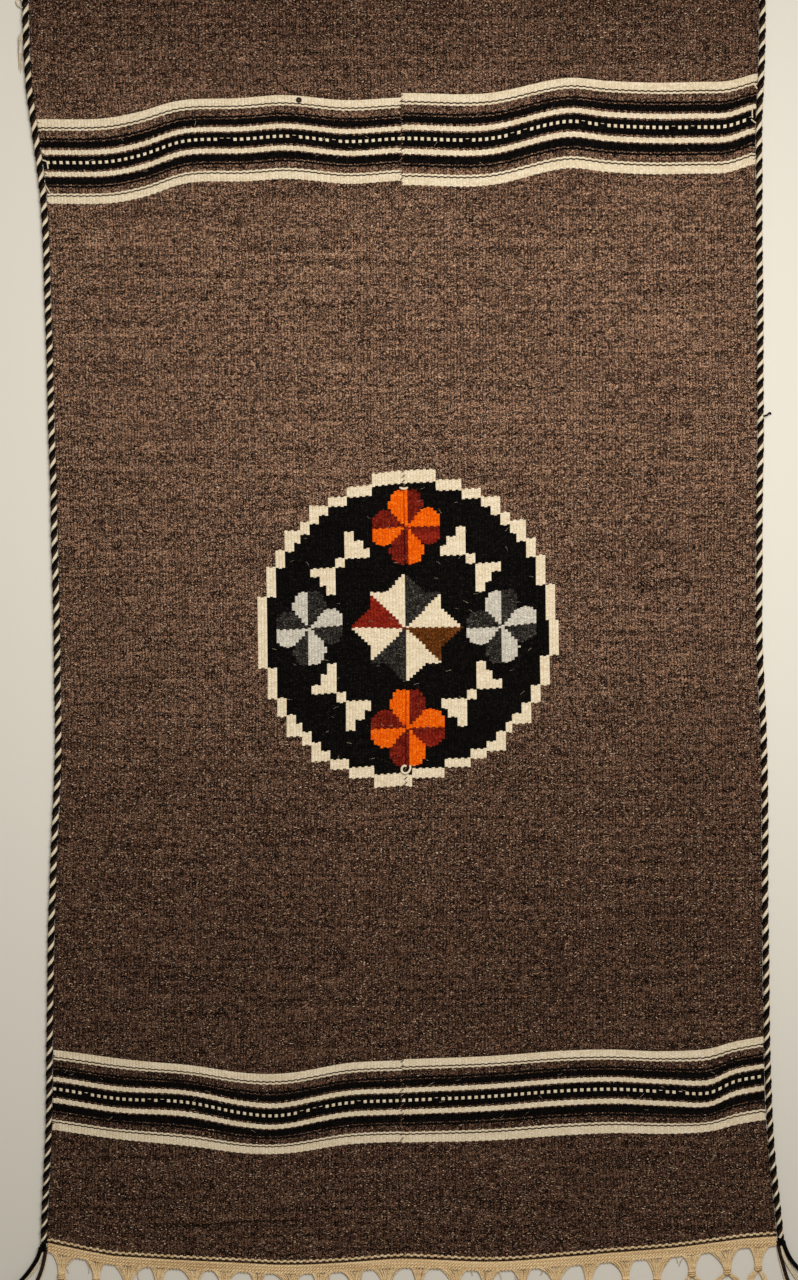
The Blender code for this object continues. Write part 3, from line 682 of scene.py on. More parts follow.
class Skein:
    """Yarns laid as closed tubes, gathered into one mesh."""

    def __init__(self):
        self.points = []
        self.faces = []
        self.lay = []
        self.yarns = []
        self.count = 0

    def add(self, path, radius, sides=6, yarn=0, up=(0.0, 0.0, 1.0), flat=1.0):
        """Lay one yarn along a path, flat being its height over its width."""
        path = np.asarray(path, dtype=float)
        steps = len(path)
        radius = np.broadcast_to(radius, (steps,))[:, None, None]
        ahead = np.gradient(path, axis=0)
        ahead /= np.linalg.norm(ahead, axis=1, keepdims=True)
        aside = np.cross(ahead, up)
        aside /= np.linalg.norm(aside, axis=1, keepdims=True)
        rise = np.cross(aside, ahead)
        angle = 2 * math.pi * np.arange(sides) / sides
        ring = (np.cos(angle)[None, :, None] * aside[:, None, :]
                + flat * np.sin(angle)[None, :, None] * rise[:, None, :])
        self.points.append((path[:, None, :] + radius * ring).reshape(-1, 3))

        at = self.count + np.arange(steps * sides).reshape(steps, sides)
        following = np.roll(at, -1, axis=1)
        walls = np.stack([at[:-1], at[1:], following[1:], following[:-1]], -1).reshape(-1, 4)
        length = np.append(0, np.cumsum(np.linalg.norm(np.diff(path, axis=0), axis=1)))
        low, left = np.meshgrid(length[:-1], np.arange(sides) / sides, indexing="ij")
        high, right = np.meshgrid(length[1:], (np.arange(sides) + 1) / sides, indexing="ij")
        lay = np.stack([left, low, left, high, right, high, right, low], -1)
        cap = np.stack([np.arange(sides) / sides, np.zeros(sides)], -1)
        self.faces += walls.tolist() + [at[0].tolist(), at[-1][::-1].tolist()]
        self.lay += [lay.reshape(-1, 2), cap, cap]
        self.yarns += [yarn] * (len(walls) + 2)
        self.count += steps * sides

    def finish(self, name, materials, slot, *nodes):
        """Turn what has been laid into a piece that stands for these nodes."""
        mesh = bpy.data.meshes.new(name)
        mesh.from_pydata(np.vstack(self.points).tolist(), [], self.faces)
        mesh.polygons.foreach_set("material_index", np.array(self.yarns, dtype=np.int32))
        mesh.set_sharp_from_angle(angle=TUBE_CREASE)
        add_map(mesh, "lay", np.vstack(self.lay))
        piece = add_piece(name, mesh, materials)
        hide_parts(*nodes)
        return piece


def cloth_point(side, share, along, above=0.0):
    """A point over the cloth's upper face."""
    x, y = cloth_place(side, share, along)
    z = cloth_lift(x, y, share, along)
    return np.array([float(x), float(y), float(z) + WALL + above])


def spun(name, shades):
    """The same wool as a plied yarn instead of as weft."""
    return wool(name, *shades[1:], woven=False, grain=0.7)


brown_yarn = spun("brown_sewing_yarn", WEFT["brown"])
black_yarn = spun("black_wool_yarn", WEFT["black"])
cream_yarn = spun("cream_wool_yarn", WEFT["cream"])
umber_yarn = wool("umber_wool_yarn", "#100A07", "#2C1E16", "#4A3527", "#6E5540", woven=False)
seam = Skein()
for stitch in range(round((TOP_END - BOTTOM_END) / STITCH_PITCH)):
    along = BOTTOM_END + (stitch + 0.5) * STITCH_PITCH
    if SLIT_BOTTOM < along < SLIT_TOP:
        continue
    middle = cloth_point(1, 0.0, along)
    share = np.linspace(-1, 1, STITCH_STEPS)
    slant = STITCH_PITCH * (STITCH_SLANT + SLANT_SWAY * math.sin(SLANT_STEP * stitch))
    path = np.stack([middle[0] + STITCH_REACH * share, middle[1] + slant * share,
                     middle[2] + STITCH_RISE * (1 - STITCH_DIVE * share ** 2)], -1)
    seam.add(path, STITCH_RADIUS, sides=6)
seam.finish("centre_seam", [brown_yarn], "stay_yarn")


# Slit stays
# The ends of the head slit are kept from tearing: a few turns of cream yarn wrapped into a
# crescent at the top, and a loop of the same yarn worked through the lips at the bottom.

STAY_YARN_RADIUS = 0.0020
STAY_LIFT = 0.0003
BAR_HALF_LENGTH = 0.0062
BAR_RISE = 0.0022             # its ends turn up by this, dive by the next, and taper
BAR_DIVE = 0.0008
BAR_TAPER = 0.45
BAR_SECTIONS = 17
LOOP_YARN_RADIUS = STAY_YARN_RADIUS * 0.9
LOOP_POINTS = ((0.0070, 0.0050), (0.0068, -0.0010), (0.0035, -0.0060), (-0.0015, -0.0075),
               (-0.0058, -0.0045), (-0.0060, 0.0005), (-0.0030, 0.0040), (0.0010, 0.0035))


def smooth_path(points, steps):
    """A rounded path through points, as many steps between each two."""
    points = np.asarray(points, dtype=float)
    padded = np.vstack([2 * points[0] - points[1], points, 2 * points[-1] - points[-2]])
    share = np.arange(steps) / steps
    share = share[:, None]
    path = []
    for a, b, c, d in zip(padded, padded[1:], padded[2:], padded[3:]):
        path.append(0.5 * (2 * b + (c - a) * share + (2 * a - 5 * b + 4 * c - d) * share ** 2
                           + (3 * b - a - 3 * c + d) * share ** 3))
    return np.vstack([*path, points[-1:]])


stay_height = WALL + STAY_LIFT + STAY_YARN_RADIUS
bar = Skein()
share = np.linspace(-1, 1, BAR_SECTIONS)
top_of_slit = cloth_point(1, 0.0, SLIT_TOP)
bottom_of_slit = cloth_point(1, 0.0, SLIT_BOTTOM)
bar.add(np.stack([top_of_slit[0] + BAR_HALF_LENGTH * share,
                  top_of_slit[1] + BAR_RISE * share ** 2,
                  stay_height - BAR_DIVE * share ** 4], -1),
        STAY_YARN_RADIUS * (1 - BAR_TAPER * share ** 4), sides=10)
bar.finish("stay_crescent", [cream_yarn], "stay_yarn", "slit_bar_top")
loop = Skein()
loop_path = [(bottom_of_slit[0] + x, bottom_of_slit[1] + y, stay_height) for x, y in LOOP_POINTS]
loop.add(smooth_path(loop_path, 4), LOOP_YARN_RADIUS, sides=10)
loop.finish("stay_loop", [cream_yarn], "stay_yarn", "slit_loop_bottom")


# Edging cords
# A rope of three hand-plied wool strands, cream, brown and black, sewn along each selvedge
# with brown yarn. It was twisted by hand, harder in some stretches than in others.

CLOTH_ROWS = 40
STRAND_RADII = (0.0027, 0.0025, 0.0032)
STRAND_FROM_AXIS = 0.0024
CREAM_THINNING = 0.0007       # the cream strand runs thinner in the lower third
THINNER_BELOW = -0.45
THINNING_REACH = 0.30
CORD_SECTIONS = 1100
CORD_WANDER, WANDER_WAVES = 0.0003, 61
SLOW_TWIST, SLOW_WAVES = 0.40, 23   # radians that the twist runs ahead, and how often
FAST_TWIST, FAST_WAVES = 0.30, 71
EDGE_STITCHES = 130
EDGE_STITCH_RADIUS = 0.00055
# Points of a stitch: out from the selvedge, along it, and up
EDGE_STITCH = ((-0.0035, 0.0, WALL + 0.0002), (-0.0012, 0.0006, WALL + 0.0013),
               (0.0016, 0.0018, WALL + 0.0022), (0.0034, 0.0028, WALL + 0.0020))
# How long one turn of the cord is, by place along the garment
Lay = namedtuple("Lay", "along turn")
LAYS = (Lay(-0.970, 0.0210), Lay(-0.470, 0.0237), Lay(0.000, 0.0254), Lay(0.470, 0.0213),
        Lay(0.800, 0.0255), Lay(1.000, 0.0250))


def selvedge_at(side, share):
    """Plan position of the selvedge, share 0 at the bottom end and 1 at the top."""
    along = BOTTOM_END + (TOP_END - BOTTOM_END) * np.arange(CLOTH_ROWS + 1) / CLOTH_ROWS
    x, y = cloth_place(side, 1.0, along)
    rows = np.asarray(share) * CLOTH_ROWS
    known = np.arange(CLOTH_ROWS + 1)
    return np.interp(rows, known, x), np.interp(rows, known, y)


def make_edging_cord(name, side, node):
    """Three strands twisted round the cord's axis, and the stitches that hold it."""
    share = np.linspace(0, 1, CORD_SECTIONS)
    x, y = selvedge_at(side, share)
    turn = read_table(LAYS, "along", "turn", y)
    turns = np.append(0, np.cumsum(np.diff(y) / turn[1:]))
    axis = x + side * (CORD_SEAT + CORD_WANDER * np.sin(WANDER_WAVES * share + side))
    uneven = (SLOW_TWIST * np.sin(SLOW_WAVES * share + side)
              + FAST_TWIST * np.sin(FAST_WAVES * share) + 2 * side)
    cord = Skein()
    for strand in range(3):
        angle = -2 * math.pi * turns + uneven + 2 * math.pi * strand / 3
        thin = CREAM_THINNING * ease((THINNER_BELOW - y) / THINNING_REACH) * (strand == 0)
        cord.add(np.stack([axis + STRAND_FROM_AXIS * np.cos(angle), y,
                           CORD_RADIUS + STRAND_FROM_AXIS * np.sin(angle)], -1),
                 STRAND_RADII[strand] - thin, sides=8, yarn=strand)
    for stitch in range(EDGE_STITCHES):
        at = (stitch + 0.5) / EDGE_STITCHES
        x, y = selvedge_at(side, at)
        path = [(x + side * out, y + up, z) for out, up, z in EDGE_STITCH]
        cord.add(smooth_path(path, 2), EDGE_STITCH_RADIUS, sides=5, yarn=1)
    cord.finish(name, [cream_yarn, umber_yarn, black_yarn], "edging_wool", node)


make_edging_cord("cord_left", -1, "edging_cord_left")
make_edging_cord("cord_right", 1, "edging_cord_right")


# Heading and knotted fringe
# The warps are unbleached cotton. At each end of the cloth they are twined into a slanting
# heading, gathered in groups, knotted, parted and knotted again as a net, and left to hang.

GROUPS_A_WIDTH = 11
GROUPS = 2 * GROUPS_A_WIDTH
YARNS_A_GROUP = 24
YARNS_A_LEG = 10
YARNS_A_LOCK = 6
LOCKS_A_KNOT = 3
STRAYS_A_GROUP = 1
HEADING_BEADS_A_GROUP = 10    # one slanting bead of the heading for each rib
HEADING_ROWS = 3
HEADING_ROW = 0.0046
HEADING_STRAND_RADIUS = 0.0028
HEADING_STRAND_Z = 0.0015
HEADING_STRAND_FLAT = 0.36
HEADING_BEAD_RADIUS = 0.0017
HEADING_BEAD_Z = 0.0020
HEADING_BEAD_RISE = 0.0012
HEADING_SLANT = 0.10
HEADING_MARGIN = 0.02         # its strands stop this share of a group from the corners
STRAND_LEVEL = 0.55           # where in a row a strand lies, and how long a bead is in rows
BEAD_REACH = 1.12
BEAD_START = 0.0004
ARCH_DEPTH = 0.0135
SCALLOP_DEPTH = 0.019
EDGE_SWAY = 0.16              # how unevenly the warps were shared out between the groups
FIRST_KNOT_DEPTH = 0.041
NET_KNOT_DEPTH = 0.078
LOCK_MIDDLE_DEPTH = 0.117
LOCK_TIP_DEPTH = 0.143
LOCK_SPACING = 0.0075
LOCK_TIP_SPACING = 0.0100
KNOT_SWAY = 0.0028
TIP_SWAY = 0.0030
TIP_UNEVENNESS = 0.007
GROUP_SWAY = 0.05
END_KNOT_INSET = 0.008
COTTON_RADIUS = 0.0010
FLOOR_CLEARANCE = 0.0004
KNOT_RADIUS = 0.0040
KNOT_WIDTH = 0.0062
KNOT_LENGTH = 0.0090
COIL_RADIUS = 0.0017
COIL_TURNS = 3
KNOT_ENTRY_Z = 0.0036         # height of the yarns where they go into a first knot
KNOT_EXIT_Z = 0.0034          # and where they leave a knot, or enter one of the net
KNOT_EXIT = 0.008             # how far out from a knot's start they leave it
YARN_FLOOR = COTTON_RADIUS + FLOOR_CLEARANCE

GROUP_MARGIN = 0.03           # a group's outermost warps start this share of it in
START_SWAY = 0.025
PULLS = (1.6, 2.6)            # how sharply a warp turns in towards its knot
UNDER_HEADING = 0.0035        # the warps start this far in under the heading
KNOT_MOUTH = 0.68             # share of a knot's width that its yarns fill
KNOT_HOLD = 0.003             # how far into a first knot they go
OUTWARD_POWER = 1.25          # they leave the heading slowly, and then run out faster
GROUP_LOOSENESS = 0.0026      # how unlike in height the warps of a group lie
GROUP_WANDER = 0.0009
STRAY_RADIUS = 0.0005
STRAY_ROOT = 0.002            # a stray starts this far in under the arch of the heading
STRAY_REACHES = (0.010, 0.030)
STRAY_LEAN = 0.010
STRAY_BOW = 0.006
STRAY_Z, STRAY_DROP, STRAY_RISE = 0.0034, 0.0020, 0.0012

LEG_ASIDE = 0.0026            # the two legs of a knot leave it this far to each side
LEG_START_SPREAD = 0.0022
LEG_STOP_SPREAD = 0.0024
LEG_BOW = 0.0016
LEG_WANDER = 0.0010
LEG_LOOSENESS = 0.0018
LEG_MIDDLE = (0.45, 0.5)      # across and along, as shares of the way to the next knot

LOCK_HALF_WIDTH = 0.0013
LOCK_HALF_HEIGHT = 0.0010
LOCK_ROOT_SPACING = 0.0042
LOCK_SPREADS = (1.4, 1.3)     # times that half width at a lock's middle and at its tip
LOCK_SETTLING = 0.8
LOCK_WANDERS = (0.0008, 0.0012)
TIP_RAGGEDNESS = 0.004
TIP_RANGE = (-1, 0.6)         # more tips are short than long


GOLDEN_ANGLE = 2.399
SERIES_ANGLE = 1.711


def vary(index, which):
    """A number from -1 to 1 that looks uneven from one index to the next."""
    return math.sin(GOLDEN_ANGLE * index + SERIES_ANGLE * which)


# Carded cotton left in its own colour, two plies, dyed by nothing but age: warm cream, with
# golden brown painted shade down the flanks and underside of each yarn, matt, and soft at its
# edges.
warp_cotton = wool("unbleached_warp_cotton", "#B0844C", "#FFE2B0", "#FFEEC8", "#FFF2D4",
                   woven=False, grain=0.35)


def end_place(end, at, depth):
    """Plan position off the cloth's end: groups from the left, and metres outwards."""
    along = np.array([TOP_END if end > 0 else BOTTOM_END])
    share = np.arange(GROUPS_A_WIDTH + 1) / GROUPS_A_WIDTH
    left_x, left_y = cloth_place(-1, share[::-1], along)
    right_x, right_y = cloth_place(1, share, along)
    line_x = np.concatenate([left_x[:-1], [(left_x[-1] + right_x[0]) / 2], right_x[1:]])
    line_y = np.concatenate([left_y[:-1], [(left_y[-1] + right_y[0]) / 2], right_y[1:]])
    groups = np.arange(GROUPS + 1)
    y = np.interp(at, groups, line_y) + end * (SEAM_GAP + depth)
    return np.interp(at, groups, line_x), y


def heading_depth(at):
    """How deep the heading is: shallow over the arches, deeper where a group leaves it."""
    share = ease(1 - np.abs((np.asarray(at) % 1) - 0.5) * 2)
    return ARCH_DEPTH + (SCALLOP_DEPTH - ARCH_DEPTH) * share


def lay_heading(skein, end):
    """Rows of twining: flat strands along the cloth's end under beads that slant like a /."""
    along = np.linspace(HEADING_MARGIN, GROUPS - HEADING_MARGIN, GROUPS * 3)
    for row in range(HEADING_ROWS):
        x, y = end_place(end, along, HEADING_ROW * (row + STRAND_LEVEL))
        skein.add(np.stack([x, y, np.full(len(x), HEADING_STRAND_Z)], -1),
                  HEADING_STRAND_RADIUS, sides=8, flat=HEADING_STRAND_FLAT)
    share = np.linspace(0, 1, 5)
    swell = HEADING_BEAD_RADIUS * np.sqrt(np.sin(math.pi * (0.1 + 0.8 * share)))
    for count in range(GROUPS * HEADING_BEADS_A_GROUP):
        middle = (count + 0.5) / HEADING_BEADS_A_GROUP
        for row in range(HEADING_ROWS):
            at = middle + end * HEADING_SLANT * (share - 0.5)
            x, y = end_place(end, at, BEAD_START + HEADING_ROW * (row + BEAD_REACH * share))
            z = HEADING_BEAD_Z + HEADING_BEAD_RISE * np.sin(math.pi * share)
            skein.add(np.stack([x, y, z], -1), swell, sides=6)


def tie_knot(skein, x, y, end):
    """An overhand knot, as the group's own yarn wound round it in a flat coil."""
    share = np.linspace(0, 1, COIL_TURNS * 9)
    angle = 2 * math.pi * COIL_TURNS * share
    path = np.stack([x + (KNOT_WIDTH - COIL_RADIUS) * np.cos(angle),
                     y + end * KNOT_LENGTH * share,
                     KNOT_RADIUS + (KNOT_RADIUS - COIL_RADIUS) * np.sin(angle)], -1)
    skein.add(path, COIL_RADIUS, sides=6, up=(0.0, 1.0, 0.0))


def gather_group(skein, picker, end, group):
    """One group's warps, drawn in from under the heading to its first knot."""
    centre = group + 0.5 + GROUP_SWAY * vary(group, end)
    knot_depth = FIRST_KNOT_DEPTH + KNOT_SWAY * vary(group, 2 * end)
    knot_x, knot_y = end_place(end, centre, knot_depth)
    left = group + GROUP_MARGIN + EDGE_SWAY * vary(group, 7 * end) * (group > 0)
    right = group + 1 - GROUP_MARGIN
    right += EDGE_SWAY * vary(group + 1, 7 * end) * (group < GROUPS - 1)
    share = np.linspace(0, 1, 8)
    for yarn in range(YARNS_A_GROUP):
        across = (yarn + 0.5) / YARNS_A_GROUP
        start = left + (right - left) * across + START_SWAY * picker.uniform(-1, 1)
        pull = picker.uniform(*PULLS)
        x, y = end_place(end, start, heading_depth(start) - UNDER_HEADING)
        sideways = knot_x + KNOT_WIDTH * KNOT_MOUTH * (2 * across - 1) - x
        outwards = knot_y + end * KNOT_HOLD - y
        low = YARN_FLOOR + picker.uniform(0.0, GROUP_LOOSENESS)
        wander = GROUP_WANDER * picker.uniform(-1, 1) * np.sin(math.pi * share)
        skein.add(np.stack([x + sideways * (1 - (1 - share) ** pull) + wander,
                            y + outwards * share ** OUTWARD_POWER,
                            low + (KNOT_ENTRY_Z - low) * share ** 4], -1),
                  COTTON_RADIUS, sides=5)
    for _ in range(STRAYS_A_GROUP):
        x, y = end_place(end, picker.uniform(left, right), ARCH_DEPTH - STRAY_ROOT)
        reach = picker.uniform(*STRAY_REACHES)
        lean = picker.uniform(-STRAY_LEAN, STRAY_LEAN)
        bow = picker.uniform(-STRAY_BOW, STRAY_BOW)
        arch = np.sin(math.pi * share)
        skein.add(np.stack([x + lean * share + bow * arch, y + end * reach * share,
                            STRAY_Z - STRAY_DROP * share + STRAY_RISE * arch], -1),
                  STRAY_RADIUS, sides=4)
    tie_knot(skein, knot_x, knot_y, end)
    return knot_x, knot_y


def lay_leg(skein, picker, end, start, stop, lean):
    """Half a group's warps, from its first knot to a knot of the net."""
    for yarn in range(YARNS_A_LEG):
        across = 2 * (yarn + 0.5) / YARNS_A_LEG - 1
        low = YARN_FLOOR + LEG_LOOSENESS * picker.random()
        start_x = start[0] + lean * LEG_ASIDE + LEG_START_SPREAD * across
        stop_x = stop[0] - lean * LEG_ASIDE + LEG_STOP_SPREAD * across
        bow = LEG_BOW * across + LEG_WANDER * picker.uniform(-1, 1)
        path = [(start_x, start[1] + end * KNOT_EXIT, KNOT_EXIT_Z),
                (start_x + (stop_x - start_x) * LEG_MIDDLE[0] + bow,
                 start[1] + (stop[1] - start[1]) * LEG_MIDDLE[1], low),
                (stop_x, stop[1], KNOT_EXIT_Z)]
        skein.add(smooth_path(path, 3), COTTON_RADIUS, sides=5)


def hang_lock(skein, picker, end, knot, lock, root):
    """One lock of loose warps below a knot of the net, with uneven tips."""
    fan = lock - (LOCKS_A_KNOT - 1) / 2
    count = knot * LOCKS_A_KNOT + lock
    tip_sway = fan * LOCK_TIP_SPACING + TIP_SWAY * vary(count, 5 * end)
    tip_depth = LOCK_TIP_DEPTH + TIP_UNEVENNESS * vary(count, 6 * end)
    _, tip_y = end_place(end, knot, tip_depth)
    _, middle_y = end_place(end, knot, LOCK_MIDDLE_DEPTH)
    for yarn in range(YARNS_A_LOCK):
        around = 2 * math.pi * yarn / YARNS_A_LOCK
        aside = LOCK_HALF_WIDTH * math.cos(around)
        above = LOCK_HALF_HEIGHT * (1 + math.sin(around))
        middle_x = root[0] + fan * LOCK_SPACING
        wander = LOCK_WANDERS[0] * picker.uniform(-1, 1)
        tip_wander = LOCK_WANDERS[1] * picker.uniform(-1, 1)
        path = [(root[0] + fan * LOCK_ROOT_SPACING + aside, root[1] + end * KNOT_EXIT,
                 KNOT_EXIT_Z),
                (middle_x + aside * LOCK_SPREADS[0] + wander, middle_y, YARN_FLOOR + above),
                ((middle_x + root[0] + tip_sway) / 2 + aside, (middle_y + tip_y) / 2,
                 YARN_FLOOR + above * LOCK_SETTLING),
                (root[0] + tip_sway + aside * LOCK_SPREADS[1] + tip_wander,
                 tip_y + end * TIP_RAGGEDNESS * picker.uniform(*TIP_RANGE), YARN_FLOOR)]
        skein.add(smooth_path(path, 3), COTTON_RADIUS, sides=5)


def make_fringe(name, end, node):
    """Heading, groups, first knots, net legs, net knots and free locks of one end."""
    picker = random.Random(17 + end)
    skein = Skein()
    lay_heading(skein, end)
    first_knots = [gather_group(skein, picker, end, group) for group in range(GROUPS)]
    for knot in range(GROUPS + 1):
        inset = END_KNOT_INSET * ((knot == 0) - (knot == GROUPS))
        drop = KNOT_SWAY * vary(knot, 4 * end)
        knot_x, knot_y = end_place(end, knot, NET_KNOT_DEPTH + drop)
        root = (knot_x + inset + KNOT_SWAY * vary(knot, 3 * end), knot_y)
        if knot > 0:
            lay_leg(skein, picker, end, first_knots[knot - 1], root, 1)
        if knot < GROUPS:
            lay_leg(skein, picker, end, first_knots[knot], root, -1)
        tie_knot(skein, *root, end)
        for lock in range(LOCKS_A_KNOT):
            hang_lock(skein, picker, end, knot, lock, root)
    skein.finish(name, [warp_cotton], "warp_cotton", node)


make_fringe("knotted_fringe_bottom", -1, "fringe_bottom")
make_fringe("knotted_fringe_top", 1, "fringe_top")


# Corner tails
# At each corner the edging cord is wound off with black yarn, and its three strands are left
# long: a round black cord, a flat brown one, and a few loose cream yarns.

TAIL_HEAD_LENGTH = 0.014
TAIL_HEAD_HALF_WIDTH = 0.0055
WINDING_TURNS = 4
WINDING_HALF_WIDTH = 0.0038   # of the winding's own path, and the same for its height
WINDING_HALF_HEIGHT = 0.0024
WINDING_Z = 0.0042
WINDING_RADIUS = 0.0017
WINDING_START, WINDING_SHORTER = 0.0016, 0.003
TAIL_CURL = 1.5
TAIL_RIPPLE, TAIL_WAVES = 0.0016, 9
TAIL_ROOT = 0.4               # a strand starts at this share of its head's length
TAIL_FAN = 0.4                # share of their places aside that its yarns have there
STRANDS_APART = 2 / 3         # of the head's half width
TAIL_SLACK = 0.25             # a strand's end lies this share of its length nearer the cloth
TAIL_DROP = 0.0026            # from the winding's height down to the floor
TAIL_RISE = 0.0012
TAIL_TAPER = 0.35
Tail = namedtuple("Tail", "name side end lengths outward")
TAILS = (
    Tail("tail_bottom_left", -1, -1, (0.105, 0.090, 0.118), (0.072, 0.052, 0.034)),
    Tail("tail_bottom_right", 1, -1, (0.092, 0.104, 0.110), (0.062, 0.046, 0.030)),
    Tail("tail_top_left", -1, 1, (0.096, 0.108, 0.088), (0.058, 0.042, 0.026)),
    Tail("tail_top_right", 1, 1, (0.100, 0.086, 0.112), (0.066, 0.047, 0.030)),
)
TailYarn = namedtuple("TailYarn", "strand yarn radius flat aside")
TAIL_YARNS = (
    TailYarn(0, 2, 0.0033, 1.0, 0.0), TailYarn(1, 0, 0.0012, 1.0, -0.0026),
    TailYarn(1, 0, 0.0012, 1.0, 0.0), TailYarn(1, 0, 0.0011, 1.0, 0.0024),
    TailYarn(2, 1, 0.0030, 0.55, 0.0), TailYarn(2, 0, 0.0010, 1.0, -0.0044),
)


def make_tail(tail):
    """The wound head and the free strands of one corner."""
    x, y = selvedge_at(tail.side, 1.0 if tail.end > 0 else 0.0)
    seat_x = x + tail.side * (TAIL_HEAD_HALF_WIDTH + SEAM_GAP)
    seat_y = y + tail.end * SEAM_GAP
    skein = Skein()
    share = np.linspace(0, 1, 40)
    angle = 2 * math.pi * WINDING_TURNS * share
    skein.add(np.stack([seat_x + WINDING_HALF_WIDTH * np.cos(angle),
                        seat_y + tail.end * (WINDING_START
                                             + (TAIL_HEAD_LENGTH - WINDING_SHORTER) * share),
                        WINDING_Z + WINDING_HALF_HEIGHT * np.sin(angle)], -1),
              WINDING_RADIUS, sides=6, yarn=2, up=(0.0, 1.0, 0.0))
    for laid in TAIL_YARNS:
        length = tail.lengths[laid.strand]
        outward = tail.outward[laid.strand]
        start = TAIL_HEAD_HALF_WIDTH * STRANDS_APART * (1 - laid.strand)
        share = np.linspace(0, 1, 22)
        ripple = TAIL_RIPPLE * np.sin(TAIL_WAVES * share + 2 * laid.strand + tail.side) * share
        depth = TAIL_HEAD_LENGTH * TAIL_ROOT + length * share * (1 - TAIL_SLACK * share)
        path = np.stack([seat_x + tail.side * (start + outward * share ** TAIL_CURL + ripple
                                               + laid.aside * (TAIL_FAN + share)),
                         seat_y + tail.end * depth,
                         laid.radius * laid.flat + FLOOR_CLEARANCE
                         + TAIL_DROP * (1 - share) ** 3
                         + TAIL_RISE * np.sin(math.pi * share)], -1)
        skein.add(path, laid.radius * (1 - TAIL_TAPER * share ** 3), sides=8,
                  yarn=laid.yarn, flat=laid.flat)
    skein.finish("strands_" + tail.name.removeprefix("tail_"),
                 [cream_yarn, umber_yarn, black_yarn], "tail_wool", tail.name)


for tail in TAILS:
    make_tail(tail)


# Mends, ends and loose hairs
# What a used blanket has: cream mending stitches by the selvedges, a frayed cord end, a knot
# in the weft, one loose end of black yarn, and coarse hairs that have worked out of the wool.

HAIRS_A_WIDTH = 500
HAIR_RADIUS = 0.00022
HAIR_RISE = 0.0011
HAIR_SINK = 0.0001            # its ends go this far into the cloth
HAIR_SHARES = (0.02, 0.97)    # from the seam to the selvedge
HAIR_MARGIN = 0.01            # and this far from the cloth's ends
HAIR_TURN = 0.9               # radians from straight across
HAIR_LENGTHS = (0.004, 0.009)
HAIR_BEND = 0.4
FRAYED_FIBRES = 14
FRAYED_RADIUS = 0.00045
# Places across, along and up that one fibre of the frayed end passes, and its spread along
FRAY = ((-0.586, 0.912, 0.007, 0.004), (-0.592, 0.900, 0.005, 0.008),
        (-0.594, 0.884, 0.0026, 0.012), (-0.592, 0.868, 0.0012, 0.014))
FRAY_LIFT, FRAY_ASIDE = 0.002, 0.003
SLACK_LOOP = ((-0.586, 0.952, 0.007), (-0.595, 0.957, 0.004), (-0.598, 0.964, 0.002),
              (-0.592, 0.968, 0.004), (-0.587, 0.962, 0.008))
SLACK_RADIUS = 0.0012
BLACK_END = ((0.549, 0.325, 0.008), (0.556, 0.327, 0.007), (0.561, 0.331, 0.004),
             (0.563, 0.329, 0.0015))
BLACK_END_RADIUS = 0.0014
WEFT_KNOT_AT = (-0.163, 0.811)
WEFT_KNOT_SHARE = 0.28
WEFT_KNOT_SIZE = (0.0028, 0.0024, 0.0006)   # half its width, length and swing of height
WEFT_KNOT_RADIUS, WEFT_KNOT_LIFT, WEFT_KNOT_SWING = 0.0018, 0.0015, 2.5
MEND_LIFT = 0.0011
Mend = namedtuple("Mend", "place radius points")
MENDS = (
    Mend("left, upper", 0.0010,
         ((-0.5625, 0.720), (-0.555, 0.719), (-0.5505, 0.716), (-0.5490, 0.706))),
    Mend("left, lower", 0.0010,
         ((-0.5590, 0.686), (-0.553, 0.680), (-0.549, 0.674), (-0.546, 0.669))),
    Mend("right, upper", 0.0012,
         ((0.5360, 0.8385), (0.5395, 0.8325), (0.5420, 0.8300), (0.5460, 0.8345))),
    Mend("right, one stitch", 0.0011,
         ((0.5345, 0.8000), (0.5340, 0.7920), (0.5345, 0.7846))),
    Mend("right, lower", 0.0011,
         ((0.5325, 0.7823), (0.5365, 0.7790), (0.5405, 0.7765), (0.5440, 0.7745))),
)

mends = Skein()
for mend in MENDS:
    path = [(x, y, WALL + MEND_LIFT) for x, y in mend.points]
    mends.add(smooth_path(path, 4), mend.radius, sides=6)
# The knot in the weft on the upper band, and a black end standing off the right cord
knot_x, knot_y = WEFT_KNOT_AT
knot_z = cloth_lift(knot_x, knot_y, WEFT_KNOT_SHARE, knot_y) + WALL
angle = np.linspace(0, 4 * math.pi, 22)
mends.add(np.stack([knot_x + WEFT_KNOT_SIZE[0] * np.cos(angle),
                    knot_y + WEFT_KNOT_SIZE[1] * np.sin(angle),
                    knot_z + WEFT_KNOT_LIFT
                    + WEFT_KNOT_SIZE[2] * np.sin(WEFT_KNOT_SWING * angle)], -1),
          WEFT_KNOT_RADIUS, sides=6, yarn=1)
mends.add(smooth_path(BLACK_END, 4), BLACK_END_RADIUS, sides=6, yarn=2)
# The frayed end of the left cord's cream strand, and its slack loop near the top
picker = random.Random(5)
for _ in range(FRAYED_FIBRES):
    spread = picker.uniform(-1, 1)
    lift = FRAY_LIFT * picker.random()
    tip_spread = picker.uniform(-1, 1)
    path = []
    for row, (x, y, z, reach) in enumerate(FRAY):
        last = row == len(FRAY) - 1
        path.append((x + FRAY_ASIDE * spread * last,
                     y + reach * (tip_spread if last else spread), z + lift * (row == 1)))
    mends.add(smooth_path(path, 3), FRAYED_RADIUS, sides=4, yarn=0)
mends.add(smooth_path(SLACK_LOOP, 4), SLACK_RADIUS, sides=6, yarn=0)
mends.finish("mends_and_ends", [cream_yarn, umber_yarn, black_yarn], "stay_yarn")

